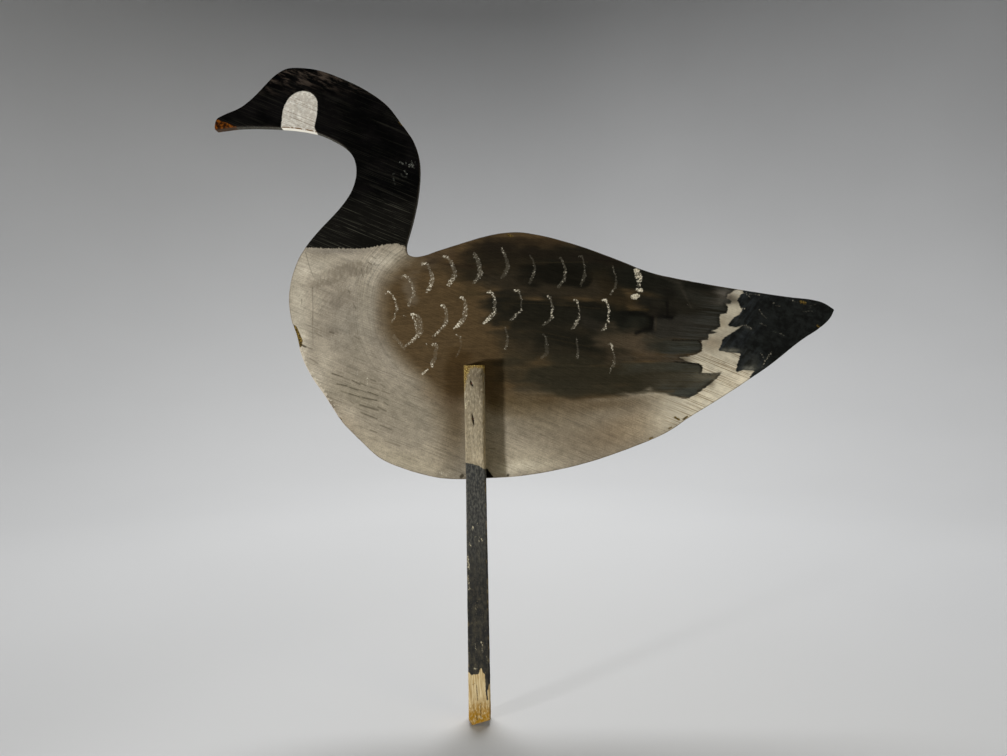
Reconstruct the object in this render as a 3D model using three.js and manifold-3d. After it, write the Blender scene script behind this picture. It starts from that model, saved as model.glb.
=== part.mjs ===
// A field decoy: the flat silhouette of a goose, sawn from a thin board, nailed to the back of a
// square wooden stake that is pushed into the ground.
// Millimetres, +Z up. The origin is the middle of the stake's foot. The goose looks towards -X,
// the board lies in the XZ plane, and the side with the stake on it faces -Y.
import * as THREE from 'three';
import { mergeVertices } from 'three/addons/utils/BufferGeometryUtils.js';
import Module from 'manifold-3d';

const manifoldLibrary = await Module();
manifoldLibrary.setup();

// Goose board
const BOARD_LENGTH = 610; // bill tip to tail tip
const BOARD_THICKNESS = 9.5;
const BOARD_EDGE_EASE = 0.7; // sanded arris all round
const BOARD_TIP = 0.92; // degrees that the tail hangs below square to the stake

// Ground stake
const STAKE_WIDTH = 20;
const STAKE_DEPTH = 19;
const STAKE_LENGTH = 345.5;
const STAKE_LAP = 112.5; // stretch of the stake above the lowest point of the belly
const STAKE_PLACE = 258; // bill tip to the middle of the stake, along the board
const STAKE_EDGE_EASE = 0.6;
const FOOT_SLANT = 15.7; // degrees, the saw cut across the foot
const BROKEN_CORNER_WIDTH = 3.4;
const BROKEN_CORNER_HEIGHT = 5;

// Nails that hold the stake to the board
const NAIL_SHANK_WIDTH = 1.5;
const NAIL_HEAD_WIDTH = 1.9;
const NAIL_HEAD_THICKNESS = 0.8;
const NAIL_POINT_LENGTH = 3;
const NAIL_SINK = 1; // head below the face of the stake
const NAIL_COVER = 2.5; // wood left between the nail's point and the back of the board
const UPPER_NAIL_DROP = 18; // below the top of the stake
const UPPER_NAIL_ASIDE = 2.7; // from the middle of the stake, towards the bill
const UPPER_PIT_LENGTH = 5.3;
const UPPER_PIT_TURN = 22; // degrees off upright
const LOWER_NAIL_RISE = 60.5; // above the lowest point of the belly
const LOWER_NAIL_ASIDE = 1.8;
const LOWER_PIT_LENGTH = 9.8;
const LOWER_PIT_TURN = 9; // degrees off upright

// Clearances and fineness
const FACE_GAP = 0.3; // between the stake and the board
const NAIL_CLEARANCE = 0.3; // round the shank, under the head and past the point
const HEAD_CLEARANCE = 0.25; // round the head, in its pit
const CUT_MARGIN = 1; // that a cutting solid stands out of the face it cuts
const CURVE_STEPS = 5; // straight pieces between two points of the goose's outline
const ROUND_SIDES = 16;

// The goose's outline, in hundredths of the board's length: [from the bill tip, above the belly].
// The curve runs smoothly through each edge and turns sharply where two edges meet.
const BROW_AND_CROWN_SHARES = [
  [0.3, 58.2], [1.7, 58.9], [4.2, 60.0], [5.9, 61.3], [7.7, 63.1], [9.2, 64.7],
  [10.3, 65.6], [11.7, 66.3], [13.8, 66.4], [16.4, 66.1],
];
const NAPE_SHARES = [
  [20.3, 64.8], [25.1, 62.4], [28.0, 60.2], [30.3, 57.2], [32.1, 54.6], [33.0, 51.8],
  [33.1, 48.6], [32.7, 45.0], [31.8, 40.9],
];
const NAPE_NOTCH_SHARES = [[30.9, 37.6], [31.1, 36.4], [32.0, 35.9], [33.8, 36.1]];
const BACK_SHARES = [
  [36.4, 37.0], [39.6, 38.0], [42.9, 39.0], [46.1, 39.7], [49.1, 39.9], [52.5, 39.4],
  [55.8, 38.6], [60.6, 37.1], [65.4, 35.3],
];
const RUMP_AND_TAIL_SHARES = [
  [70.3, 33.4], [76.7, 32.0], [84.8, 30.6], [92.8, 29.4], [96.4, 29.0], [98.3, 28.5],
  [100, 27.4],
];
const UNDER_TAIL_SHARES = [
  [100, 27.4], [99.5, 26.2], [97.9, 24.6], [94.5, 22.3], [89.6, 18.4], [86.4, 16.2],
  [81.7, 13.1], [76.8, 10.1], [73.6, 7.9], [70.3, 6.3],
];
const BELLY_SHARES = [
  [62.2, 3.3], [55.8, 1.6], [49.3, 0.5], [44.5, 0.2], [39.6, 0], [36.4, 0.2],
  [33.2, 0.9], [30.0, 1.9], [26.7, 3.4], [23.5, 6.3], [20.3, 9.6], [17.8, 13.5],
];
const BREAST_SHARES = [
  [16.1, 15.9], [14.9, 18.0], [13.9, 20.4], [13.3, 23.0], [12.4, 25.7], [12.0, 28.9],
  [12.4, 32.2], [13.4, 35.2], [14.8, 37.6],
];
const THROAT_SHARES = [
  [17.1, 40.4], [20.3, 43.8], [22.2, 46.7], [22.9, 49.6], [22.5, 51.8], [21.1, 53.6],
  [19.0, 54.9],
];
const CHIN_SHARES = [[16.7, 55.9], [13.8, 56.5], [10.6, 56.8], [4.2, 56.9], [0.1, 56.4]];
const BILL_END_SHARES = [[0.1, 56.4], [0, 57.1], [0.3, 58.2]];
const TOP_SHARES = [
  ...BROW_AND_CROWN_SHARES,
  ...NAPE_SHARES,
  ...NAPE_NOTCH_SHARES,
  ...BACK_SHARES,
  ...RUMP_AND_TAIL_SHARES,
];
const UNDERSIDE_SHARES = [
  ...UNDER_TAIL_SHARES,
  ...BELLY_SHARES,
  ...BREAST_SHARES,
  ...THROAT_SHARES,
  ...CHIN_SHARES,
];
const GOOSE_EDGES = [TOP_SHARES, UNDERSIDE_SHARES, BILL_END_SHARES];

// A smooth curve through one edge of the goose, without its last point, which starts the next.
function smoothEdge(shares) {
  const scale = BOARD_LENGTH / 100;
  const points = shares.map(([along, up]) => new THREE.Vector3(along * scale, up * scale, 0));
  const curve = new THREE.CatmullRomCurve3(points, false, 'centripetal');
  const fine = curve.getPoints((points.length - 1) * CURVE_STEPS);
  return fine.slice(0, -1).map((point) => new THREE.Vector2(point.x, point.y));
}

// A board with that outline in the XZ plane, from its front face at y = 0 to its back. Its edges
// are eased without changing the outline halfway through the thickness.
function plank(outline, thickness, ease) {
  const geometry = new THREE.ExtrudeGeometry(new THREE.Shape(outline), {
    depth: thickness - 2 * ease,
    bevelEnabled: ease > 0,
    bevelThickness: ease,
    bevelSize: ease,
    bevelOffset: -ease,
    bevelSegments: 1,
  });
  geometry.rotateX(Math.PI / 2);
  geometry.translate(0, thickness - ease, 0);
  return geometry;
}

// A closed geometry as a solid that can be cut.
function solidOf(geometry) {
  const bare = geometry.clone();
  bare.deleteAttribute('normal');
  bare.deleteAttribute('uv');
  const merged = mergeVertices(bare);
  const mesh = new manifoldLibrary.Mesh({
    numProp: 3,
    vertProperties: new Float32Array(merged.attributes.position.array),
    triVerts: new Uint32Array(merged.index.array),
  });
  return new manifoldLibrary.Manifold(mesh);
}

// The geometry that is left once the cutters, in the same frame, are taken away from it.
function cutAway(geometry, cutters) {
  let solid = solidOf(geometry);
  for (const cutter of cutters) {
    solid = solid.subtract(solidOf(cutter));
  }
  const { vertProperties, triVerts } = solid.getMesh();
  const cut = new THREE.BufferGeometry();
  cut.setAttribute('position', new THREE.BufferAttribute(vertProperties, 3));
  cut.setIndex(new THREE.BufferAttribute(triVerts, 1));
  cut.computeVertexNormals();
  return cut;
}

// A round hole from just outside a front face to that depth behind it.
function holeCutter(x, z, width, depth) {
  const length = depth + CUT_MARGIN;
  const cutter = new THREE.CylinderGeometry(width / 2, width / 2, length, ROUND_SIDES);
  cutter.translate(x, length / 2 - CUT_MARGIN, z);
  return cutter;
}

// The torn pit over a nail head: a narrow oval, turned off upright.
function pitCutter(nail, depth) {
  const halfWidth = NAIL_HEAD_WIDTH / 2 + HEAD_CLEARANCE;
  const oval = new THREE.EllipseCurve(0, 0, halfWidth, nail.pitLength / 2);
  const outline = oval.getPoints(ROUND_SIDES).slice(0, -1);
  const cutter = plank(outline, depth + CUT_MARGIN, 0);
  cutter.rotateY(THREE.MathUtils.degToRad(-nail.pitTurn));
  cutter.translate(nail.x, -CUT_MARGIN, nail.z);
  return cutter;
}

// A round nail along +Y with its head at y = 0.
function nailGeometry(length) {
  const shank = NAIL_SHANK_WIDTH / 2;
  const head = NAIL_HEAD_WIDTH / 2;
  const profile = [
    [0, 0],
    [head, 0],
    [head, NAIL_HEAD_THICKNESS],
    [shank, NAIL_HEAD_THICKNESS],
    [shank, length - NAIL_POINT_LENGTH],
    [0, length],
  ];
  return new THREE.LatheGeometry(profile.map(([r, y]) => new THREE.Vector2(r, y)), ROUND_SIDES);
}

// The stake seen from the front: square on top, sawn aslant at the foot, with the low corner
// broken off.
function stakeOutline() {
  const half = STAKE_WIDTH / 2;
  const lowest = BROKEN_CORNER_WIDTH - half;
  const slope = Math.tan(THREE.MathUtils.degToRad(FOOT_SLANT));
  return [
    new THREE.Vector2(lowest, 0),
    new THREE.Vector2(half, (half - lowest) * slope),
    new THREE.Vector2(half, STAKE_LENGTH),
    new THREE.Vector2(-half, STAKE_LENGTH),
    new THREE.Vector2(-half, BROKEN_CORNER_HEIGHT),
  ];
}

const bellyHeight = STAKE_LENGTH - STAKE_LAP; // above the foot
const nails = [
  {
    name: 'nail_upper',
    x: -UPPER_NAIL_ASIDE,
    z: STAKE_LENGTH - UPPER_NAIL_DROP,
    pitLength: UPPER_PIT_LENGTH,
    pitTurn: UPPER_PIT_TURN,
  },
  {
    name: 'nail_lower',
    x: -LOWER_NAIL_ASIDE,
    z: bellyHeight + LOWER_NAIL_RISE,
    pitLength: LOWER_PIT_LENGTH,
    pitTurn: LOWER_PIT_TURN,
  },
];
const stakeFront = -STAKE_DEPTH / 2;
const boardFront = STAKE_DEPTH / 2 + FACE_GAP;
const nailHead = stakeFront + NAIL_SINK;
const nailPoint = boardFront + BOARD_THICKNESS - NAIL_COVER;
const holeWidth = NAIL_SHANK_WIDTH + 2 * NAIL_CLEARANCE;
const pitDepth = NAIL_SINK + NAIL_HEAD_THICKNESS + NAIL_CLEARANCE;
const boardHoleDepth = nailPoint + NAIL_CLEARANCE - boardFront;

const boardPaint = new THREE.MeshStandardMaterial({
  color: 0x6b6253,
  roughness: 0.55,
  metalness: 0,
  flatShading: true,
});
const stakeWood = new THREE.MeshStandardMaterial({
  color: 0x55524b,
  roughness: 0.8,
  metalness: 0,
  flatShading: true,
});
const nailSteel = new THREE.MeshStandardMaterial({
  color: 0x33291f,
  roughness: 0.7,
  metalness: 0.6,
  flatShading: true,
});

function makeStake() {
  const cutters = nails.flatMap((nail) => [
    pitCutter(nail, pitDepth),
    holeCutter(nail.x, nail.z, holeWidth, STAKE_DEPTH + CUT_MARGIN),
  ]);
  const solid = cutAway(plank(stakeOutline(), STAKE_DEPTH, STAKE_EDGE_EASE), cutters);
  const stake = new THREE.Mesh(solid, stakeWood);
  stake.name = 'ground_stake';
  stake.position.y = stakeFront;
  return stake;
}

// The board hangs in a group that is turned about the point where the stake crosses its belly.
function makeBoard() {
  const outline = GOOSE_EDGES.flatMap(smoothEdge);
  const board = new THREE.Mesh(plank(outline, BOARD_THICKNESS, BOARD_EDGE_EASE), boardPaint);
  board.name = 'goose_board';
  board.position.x = -STAKE_PLACE;
  const turned = new THREE.Group();
  turned.position.set(0, boardFront, bellyHeight);
  turned.rotation.y = THREE.MathUtils.degToRad(BOARD_TIP);
  turned.add(board);
  turned.updateMatrixWorld(true);
  const cutters = nails.map((nail) => {
    const place = board.worldToLocal(new THREE.Vector3(nail.x, boardFront, nail.z));
    return holeCutter(place.x, place.z, holeWidth, boardHoleDepth);
  });
  board.geometry = cutAway(board.geometry, cutters);
  return turned;
}

function makeNail(nail) {
  const mesh = new THREE.Mesh(nailGeometry(nailPoint - nailHead), nailSteel);
  mesh.name = nail.name;
  mesh.position.set(nail.x, nailHead, nail.z);
  return mesh;
}

const decoy = new THREE.Group();
decoy.add(makeStake());
decoy.add(makeBoard());
for (const nail of nails) {
  decoy.add(makeNail(nail));
}

export default decoy;
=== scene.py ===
"""The looks of the goose decoy: a hand-painted board, its rough ground stake and a plain studio."""

import math
from types import SimpleNamespace

import bpy
import numpy as np
from mathutils import Matrix, Vector
from mathutils.geometry import delaunay_2d_cdt
from mathutils.kdtree import KDTree


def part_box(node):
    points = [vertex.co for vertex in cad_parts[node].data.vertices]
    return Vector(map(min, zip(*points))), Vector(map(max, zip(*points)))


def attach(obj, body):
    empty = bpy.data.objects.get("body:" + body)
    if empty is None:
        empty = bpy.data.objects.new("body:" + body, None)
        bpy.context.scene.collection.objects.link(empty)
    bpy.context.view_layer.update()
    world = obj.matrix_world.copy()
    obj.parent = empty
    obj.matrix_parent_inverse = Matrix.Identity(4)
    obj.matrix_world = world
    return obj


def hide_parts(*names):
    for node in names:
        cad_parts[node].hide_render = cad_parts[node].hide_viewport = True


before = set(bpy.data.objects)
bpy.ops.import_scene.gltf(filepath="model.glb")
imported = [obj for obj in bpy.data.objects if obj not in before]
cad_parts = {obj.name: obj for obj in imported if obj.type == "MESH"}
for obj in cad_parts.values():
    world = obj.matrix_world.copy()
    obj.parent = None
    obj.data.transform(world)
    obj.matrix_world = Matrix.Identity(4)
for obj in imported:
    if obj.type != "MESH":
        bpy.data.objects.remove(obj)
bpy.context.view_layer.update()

MM = 0.001

# Picture and camera
# Places named PICTURE, ROWS or COLUMNS, and all that is drawn below, are in pixels of the picture,
# across and down.
PICTURE_SIZE = (1007, 756)
FOCAL_PIXELS = 756.5
CAMERA_PLACE = Vector((0.0281, -0.7343, 0.3323))
PICTURE_TIP = math.radians(0.92)  # the camera is turned this much clockwise against the stake
PICTURE_RIGHT = Vector((math.cos(PICTURE_TIP), 0, -math.sin(PICTURE_TIP)))
PICTURE_UP = Vector((math.sin(PICTURE_TIP), 0, math.cos(PICTURE_TIP)))
SENSOR = 36  # mm

# Board
BOARD_LOW, BOARD_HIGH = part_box("goose_board")
BOARD_STEP = 1.5 * MM  # between points of the outline
FACE_STEP = 1.65 * MM  # between points of the painted face, halved where there is detail
BACK_STEP = 2.8 * MM
WALL_ROWS = 12  # rings of points from face to back
OUTLINE_WOBBLE = 0.25 * MM
ARRIS = 0.7 * MM  # how far the edge is eased, evenly at the back and unevenly at the face
ARRIS_ROUNDING = [(0.5, 0.07), (0.15, 0.35), (0.0, 1.0)]  # shares of the arris: inwards, down
BITE_DEPTH = 0.4 * MM  # where the paint is off the edge
CHIP_DEPTH = 0.45 * MM  # where it is off the face
GRAIN_SLOPE = math.radians(22)  # the face grain falls this much towards the tail
GRAIN_RELIEF = 0.05 * MM
BACK_RELIEF_SHARE = 0.8
PLY_COUNT = 5
PLY_RELIEF = 0.12 * MM
SEAM_WIDTH = 0.35 * MM
SAW_RELIEF = 0.06 * MM

# Stake
STAKE_LOW, STAKE_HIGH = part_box("ground_stake")
STAKE_STEP = 1.0 * MM  # between rings of points along the stake
STAKE_FACE_PARTS = 40  # quads across the face in view
STAKE_SIDE_PARTS = 18  # quads across each other face
THICK_PAINT_START = 228 * MM  # height above which the paint is thick and lumpy
STAKE_HEIGHTS = [0, THICK_PAINT_START, STAKE_HIGH.z]
STAKE_HALF_WIDTHS = [10.5 * MM, 9.6 * MM, 9.8 * MM]  # at those heights
RUBBED_ARRIS = 2.2 * MM  # more wear on the front right arris, next to the board
RUBBED_START, RUBBED_FULL = 240 * MM, 256 * MM
FOOT_ACROSS = [-10.5 * MM, -7.2 * MM, 10.5 * MM]  # the foot is cut aslant and has lost a corner
FOOT_HEIGHTS = [5.2 * MM, 0, 4.8 * MM]  # of the cut's rim at those places across the stake
FOOT_END_HEIGHTS = [5.2 * MM, 0.4 * MM, 4.8 * MM]  # of its end grain
FOOT_REACH = 14 * MM  # the cut draws the faces up to this height
FRAYED_TOP = 0.9 * MM
END_RINGS = (0.93, 0.8, 0.6, 0.4, 0.2)  # rings of points across the end grain, as shares
PITS = (("nail_upper", 2.9 * MM, 22), ("nail_lower", 5.4 * MM, 10))  # half length, turn in degrees
PIT_HALF_WIDTH = 1.15 * MM
PIT_DEPTH = 1.35 * MM
NAIL_ZONE = 7 * MM  # rings of points are closer together this near to a nail


def linear(colour):
    """An sRGB colour, 0 to 255, as the linear colour that Blender takes."""
    share = np.asarray(colour, float) / 255
    return np.where(share <= 0.04045, share / 12.92, ((share + 0.055) / 1.055) ** 2.4)


def rgba(colour):
    return (*[float(c) for c in linear(colour)], 1.0)


def ease(low, high, value):
    """Rises smoothly from 0 at low to 1 at high."""
    share = np.clip((value - low) / (high - low), 0, 1)
    return share * share * (3 - 2 * share)


def value_noise(x, y, seed):
    """Smooth noise from 0 to 1 with cells of one unit."""
    size = 256
    table = np.random.RandomState(seed).rand(size, size)
    cell_x, cell_y = np.floor(x).astype(int), np.floor(y).astype(int)
    part_x, part_y = ease(0, 1, x - cell_x), ease(0, 1, y - cell_y)
    left, right = cell_x % size, (cell_x + 1) % size
    low, high = cell_y % size, (cell_y + 1) % size
    below = table[left, low] * (1 - part_x) + table[right, low] * part_x
    above = table[left, high] * (1 - part_x) + table[right, high] * part_x
    return below * (1 - part_y) + above * part_y


def layered_noise(x, y, seed, layers=3):
    """Noise from 0 to 1 with ever finer layers."""
    total = sum(value_noise(x * 2**k, y * 2**k, seed + k) / 2**k for k in range(layers))
    return total / sum(1 / 2**k for k in range(layers))


def picture_places(points, face):
    """Where points show in the picture, as if they all lay on the plane y = face."""
    pixel = (face - CAMERA_PLACE.y) / FOCAL_PIXELS
    away = points - np.array(CAMERA_PLACE)
    across = away @ np.array(PICTURE_RIGHT) / pixel
    up = away @ np.array(PICTURE_UP) / pixel
    return np.stack([PICTURE_SIZE[0] / 2 + across, PICTURE_SIZE[1] / 2 - up], axis=1)


# Shapes drawn on the picture

def smooth_path(points, steps):
    """A smooth closed curve through given points, as points close together."""
    points = np.array(points, float)
    points = np.vstack([points[-1:], points, points[:2]])
    fine = []
    for before, start, end, after in zip(points, points[1:], points[2:], points[3:]):
        for t in np.arange(steps) / steps:
            fine.append(
                0.5 * (2 * start + (end - before) * t
                       + (2 * before - 5 * start + 4 * end - after) * t**2
                       + (3 * start - before - 3 * end + after) * t**3)
            )
    return np.array(fine)


def off_line(places, start, end):
    """How far each place is from the line from start to end, and how far along it, as a share."""
    edge = end - start
    share = np.clip((places - start) @ edge / max(edge @ edge, 1e-9), 0, 1)
    return np.linalg.norm(places - start - share[:, None] * edge, axis=1), share


def depth_inside(places, corners):
    """How deep each place lies inside a polygon, in pixels, and below zero outside it."""
    corners = np.array(corners, float)
    inside = np.zeros(len(places), bool)
    nearest = np.full(len(places), np.inf)
    for start, end in zip(corners, np.roll(corners, -1, axis=0)):
        nearest = np.minimum(nearest, off_line(places, start, end)[0])
        if start[1] != end[1]:
            crosses = (start[1] > places[:, 1]) != (end[1] > places[:, 1])
            at = start[0] + (places[:, 1] - start[1]) / (end[1] - start[1]) * (end[0] - start[0])
            inside ^= crosses & (places[:, 0] < at)
    return np.where(inside, nearest, -nearest)


def stroke_depths(places, strokes, reach=6.0):
    """For brushed or scratched lines, each a list of (x, y, half width, load): how deep each place
    lies inside the nearest stroke, in pixels, and how loaded with colour the stroke is there."""
    depth = np.full(len(places), -reach)
    load = np.zeros(len(places))
    for stroke in strokes:
        stroke = np.array(stroke, float)
        path = stroke[:, :2]
        near = np.all((places > path.min(0) - reach) & (places < path.max(0) + reach), axis=1)
        spots = np.nonzero(near)[0]
        for start, end in zip(stroke, stroke[1:]):
            away, share = off_line(places[spots], start[:2], end[:2])
            half, full = start[2:, None] + share * (end - start)[2:, None]
            better = half - away > depth[spots]
            depth[spots[better]] = (half - away)[better]
            load[spots[better]] = full[better]
    return depth, load


def plain_strokes(lines):
    """Strokes of one width and load from (start, end, half width, load)."""
    return [[(*start, half, load), (*end, half, load)] for start, end, half, load in lines]


NECK_PICTURE = [
    (196, 40), (440, 40), (440, 236), (416, 252), (405, 246.5), (398, 243.5), (392, 244.2), (386, 244.4),
    (380, 245.5), (372, 247.2), (362, 248.6), (345, 248.5), (325, 248.4), (305, 247.4), (290, 248),
    (196, 248),
]
CHEEK_PICTURE = [
    (281, 127), (282.2, 117), (283.2, 109.5), (286, 102.6), (290, 97), (295.5, 93), (303, 91), (310, 92.6),
    (314.8, 96.4), (317.2, 101), (317.3, 110), (316.2, 119), (314.4, 127), (317, 134), (317, 140),
    (279, 140), (279.5, 131),
]
TAIL_PICTURE = [
    (746, 280), (742.5, 291.5), (741, 294.5), (739, 297.2), (737.8, 299), (736.8, 301), (739.2, 303.2),
    (740, 306.7), (742, 310), (741.4, 311.8), (739, 314.3), (735.3, 316.6), (732.3, 318.8), (731.4, 320.4),
    (729.3, 323.2), (727.8, 325.2), (730, 326.7), (736, 327.3), (743, 325.6), (739, 328), (734.6, 330.9),
    (730, 333.9), (725.5, 336.3), (721.7, 340), (722, 342.6), (720.2, 346.8), (718.4, 348.8), (719.3, 351),
    (725.5, 351.6), (731, 352.6), (736, 353), (740.6, 353.4), (739.8, 356.8), (738.3, 360.4),
    (737.2, 364.2), (736.4, 368), (735.6, 371.2), (736.8, 372.4), (740, 371.4), (744, 370), (749, 370),
    (754, 371.4), (750, 376.5), (745, 392), (860, 392), (860, 280),
]
RUMP_PICTURE = [
    (752, 280), (738, 289), (733, 291.5), (728, 294.5), (727, 298), (731.5, 300.5), (731, 303.6),
    (725.5, 303.9), (727.6, 306), (728, 309.5), (727, 313.2), (720.4, 314.3), (719.6, 318), (720, 324),
    (720.6, 326.5), (715, 330.1), (711.9, 330.9), (717, 331.9), (714.5, 333.2), (708.9, 334.3),
    (707.8, 339.6), (701.3, 340.8), (702.2, 344.5), (702.5, 348.3), (701.8, 351.3), (698.3, 353.6),
    (693, 355.4), (687.5, 356.6), (680, 357.6), (684, 359.6), (686.5, 361.2), (693, 362.6), (698.5, 363.2),
    (701.4, 364.8), (702.9, 367.4), (702.9, 369.6), (701.8, 372.5), (710, 373.3), (722, 372), (720, 375),
    (716, 379.5), (711, 383.5), (705, 388), (699, 392.5), (694, 396), (689, 398.4), (684, 398.9),
    (679, 397.6), (664, 394.5), (648, 392), (630, 393), (630, 455), (760, 412), (785, 340), (770, 280),
]
BILL_WOOD_PICTURE = [
    (205, 140), (210, 121), (217.2, 119.6), (222, 121.2), (228, 123.6), (234, 126.4), (240, 128.6),
    (236, 131.5), (232, 140),
]
WING_PICTURE = [
    (418, 236), (411, 257), (401, 264), (391, 275), (384.5, 286), (382, 300), (382, 315), (384, 330),
    (389.5, 342), (398, 355), (410.5, 368), (425, 380), (440, 391.5), (456, 400), (475, 400), (492, 398),
    (506, 396), (530, 396), (556, 399), (580, 400), (602, 398), (625, 395.4), (640, 392), (650, 389.8),
    (664, 392.6), (679, 397.2), (690, 398.4), (712, 392), (790, 360), (790, 240), (620, 200),
]

# Airbrushed tones, in the order they go on: middle, half length, half height, turn in degrees
# clockwise, colour, strength
BODY_COLOUR = (137, 129, 114)
BODY_TONES = [
    ((299, 300), 13, 62, 0, (163, 156, 140), 0.95),
    ((318, 266), 22, 9, -6, (166, 159, 143), 0.85),
    ((314, 276), 12, 9, 0, (170, 162, 146), 0.7),
    ((352, 257), 14, 5, 0, (163, 155, 140), 0.7),
    ((338, 251), 34, 3, 0, (118, 112, 102), 0.8),
    ((388, 260), 15, 9, -35, (164, 157, 141), 0.85),
    ((350, 270), 20, 6.5, 6, (131, 123, 109), 0.85),
    ((375, 263), 10, 9, -20, (190, 182, 166), 0.9),
    ((327, 285), 24, 6, 2, (130, 122, 108), 0.8),
    ((353, 286), 5, 9, 0, (162, 154, 139), 0.75),
    ((370, 278), 8, 9, 10, (172, 164, 148), 0.75),
    ((305, 268), 7, 7, 0, (182, 174, 158), 0.6),
    ((338, 302), 22, 12, 12, (123, 115, 103), 0.7),
    ((319, 300), 8, 11, 0, (166, 158, 141), 0.75),
    ((329, 315), 7, 6, 0, (116, 108, 95), 0.5),
    ((304, 339), 6, 9, 0, (180, 172, 155), 0.75),
    ((333, 331), 9, 5, 10, (110, 102, 91), 0.6),
    ((352, 325), 30, 30, 10, (127, 121, 109), 0.7),
    ((356, 356), 12, 16, 10, (121, 114, 100), 0.6),
    ((385, 350), 12, 34, -16, (130, 123, 110), 0.6),
    ((366, 300), 8, 44, 4, (140, 133, 118), 0.6),
    ((381, 308), 6, 34, 4, (104, 94, 80), 0.6),
    ((345, 347), 6, 8, 0, (118, 111, 98), 0.5),
    ((303, 352), 5, 9, -12, (165, 156, 139), 0.8),
    ((326, 362), 7, 20, -8, (166, 158, 141), 0.75),
    ((321, 378), 6, 13, -38, (188, 180, 164), 0.85),
    ((332, 404), 4, 11, -35, (97, 86, 71), 0.7),
    ((330, 385), 26, 14, 24, (137, 129, 113), 0.6),
    ((360, 398), 30, 18, 22, (124, 117, 101), 0.8),
    ((365, 379), 11, 6, 10, (110, 103, 89), 0.5),
    ((348, 414), 13, 8, 35, (168, 159, 141), 0.8),
    ((346, 424), 20, 9, 42, (144, 133, 115), 0.8),
    ((372, 441), 26, 10, 32, (150, 141, 122), 0.7),
    ((405, 462), 56, 12, 14, (158, 149, 129), 0.8),
    ((412, 410), 28, 26, 40, (127, 120, 105), 0.7),
    ((430, 394), 14, 9, 36, (112, 98, 78), 0.6),
    ((438, 414), 9, 12, 0, (104, 95, 78), 0.45),
    ((411, 457), 10, 6, 0, (134, 126, 109), 0.6),
    ((428, 455), 12, 11, 0, (160, 151, 132), 0.7),
    ((418, 436), 10, 6, 20, (146, 138, 122), 0.6),
    # Partly the brown at the wing's lower end, partly painted shade: the soft shadow that the stake casts to
    # its left.
    ((455, 440), 18, 40, 0, (110, 99, 80), 0.75),
    ((456, 418), 12, 26, 0, (90, 77, 57), 0.85),
    ((452, 400), 16, 14, 20, (78, 64, 46), 0.85),
    ((458, 408), 6, 5, 0, (104, 90, 70), 0.6),
    ((450, 387), 15, 8, 20, (60, 46, 26), 0.75),
    ((530, 455), 46, 16, -4, (138, 129, 111), 0.9),
    ((575, 436), 44, 18, -8, (116, 106, 90), 0.7),
    ((545, 420), 44, 15, 0, (116, 106, 88), 0.8),
    ((536, 403), 52, 11, 0, (82, 70, 50), 0.9),
    # Painted shade: a dark yellow-brown where the stake's shadow falls on the board, and along its soft edge to
    # the right.
    ((494, 398), 10, 14, 0, (64, 50, 26), 0.75),
    ((510, 399), 14, 9, 0, (78, 65, 43), 0.6),
    ((518, 412), 22, 6, 0, (94, 82, 62), 0.55),
    ((572, 413), 20, 8, 0, (116, 104, 85), 0.5),
    # Paler towards the belly's lower edge: pale paint, and a painted highlight across the lower belly.
    ((512, 445), 11, 11, 0, (154, 145, 127), 0.5),
    ((528, 451), 26, 9, 0, (160, 151, 133), 0.7),
    ((522, 466), 30, 8, -4, (184, 176, 157), 0.9),
    ((505, 471), 6, 4, 0, (206, 198, 178), 0.7),
    ((552, 464), 10, 4, -8, (172, 163, 143), 0.5),
    ((622, 430), 44, 20, -22, (124, 110, 90), 0.9),
    ((638, 427), 18, 11, -20, (158, 144, 121), 0.7),
    ((600, 404), 50, 8, -4, (94, 81, 62), 0.8),
    ((668, 412), 26, 14, -26, (154, 143, 123), 0.8),
    ((666, 419), 17, 8, -33, (184, 172, 151), 0.8),
    ((654, 393), 22, 3, 3, (166, 157, 138), 0.7),
    ((684, 409), 14, 8, -34, (200, 191, 172), 0.8),
    ((671, 420), 7, 5, -33, (204, 193, 171), 0.7),
    ((663, 403), 9, 4, 0, (138, 128, 108), 0.5),
    ((700, 396), 30, 14, -36, (176, 167, 148), 0.95),
]

RUMP_COLOUR = (167, 161, 146)
RUMP_TONES = [
    ((713, 343), 13, 8, 0, (138, 128, 111), 0.85),
    ((722, 323), 6, 7, 0, (146, 137, 119), 0.8),
    ((735, 309.5), 9, 4, 0, (192, 185, 168), 0.8),
    ((730, 298), 6, 5, 0, (82, 76, 68), 0.9),
    ((735, 300.5), 6, 3.6, 0, (92, 87, 77), 0.85),
    ((738.5, 292.5), 5, 2.4, 10, (182, 178, 168), 0.85),
    ((682, 359.5), 10, 4, 0, (76, 70, 59), 0.9),
    ((711, 384), 5, 3.5, -36, (98, 92, 79), 0.8),
    ((750, 370), 8, 3, 0, (96, 92, 82), 0.7),
    ((697, 396), 8, 5, -36, (150, 142, 124), 0.5),
    ((656, 396), 12, 4, 0, (138, 130, 112), 0.7),
    ((738, 378), 14, 12, 0, (176, 168, 152), 0.7),
]

TAIL_COLOUR = (16, 18, 18)
TAIL_TONES = [
    ((752, 361), 9, 7, 0, (36, 37, 35), 0.8),
    ((731, 350.2), 12, 2.4, 3, (72, 71, 64), 0.95),
    ((750, 368), 8, 3.4, -4, (80, 80, 74), 0.95),
    ((736, 320), 6, 3, 0, (34, 34, 33), 0.8),
    ((747, 327), 6, 2, 20, (48, 48, 46), 0.7),
]

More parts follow.
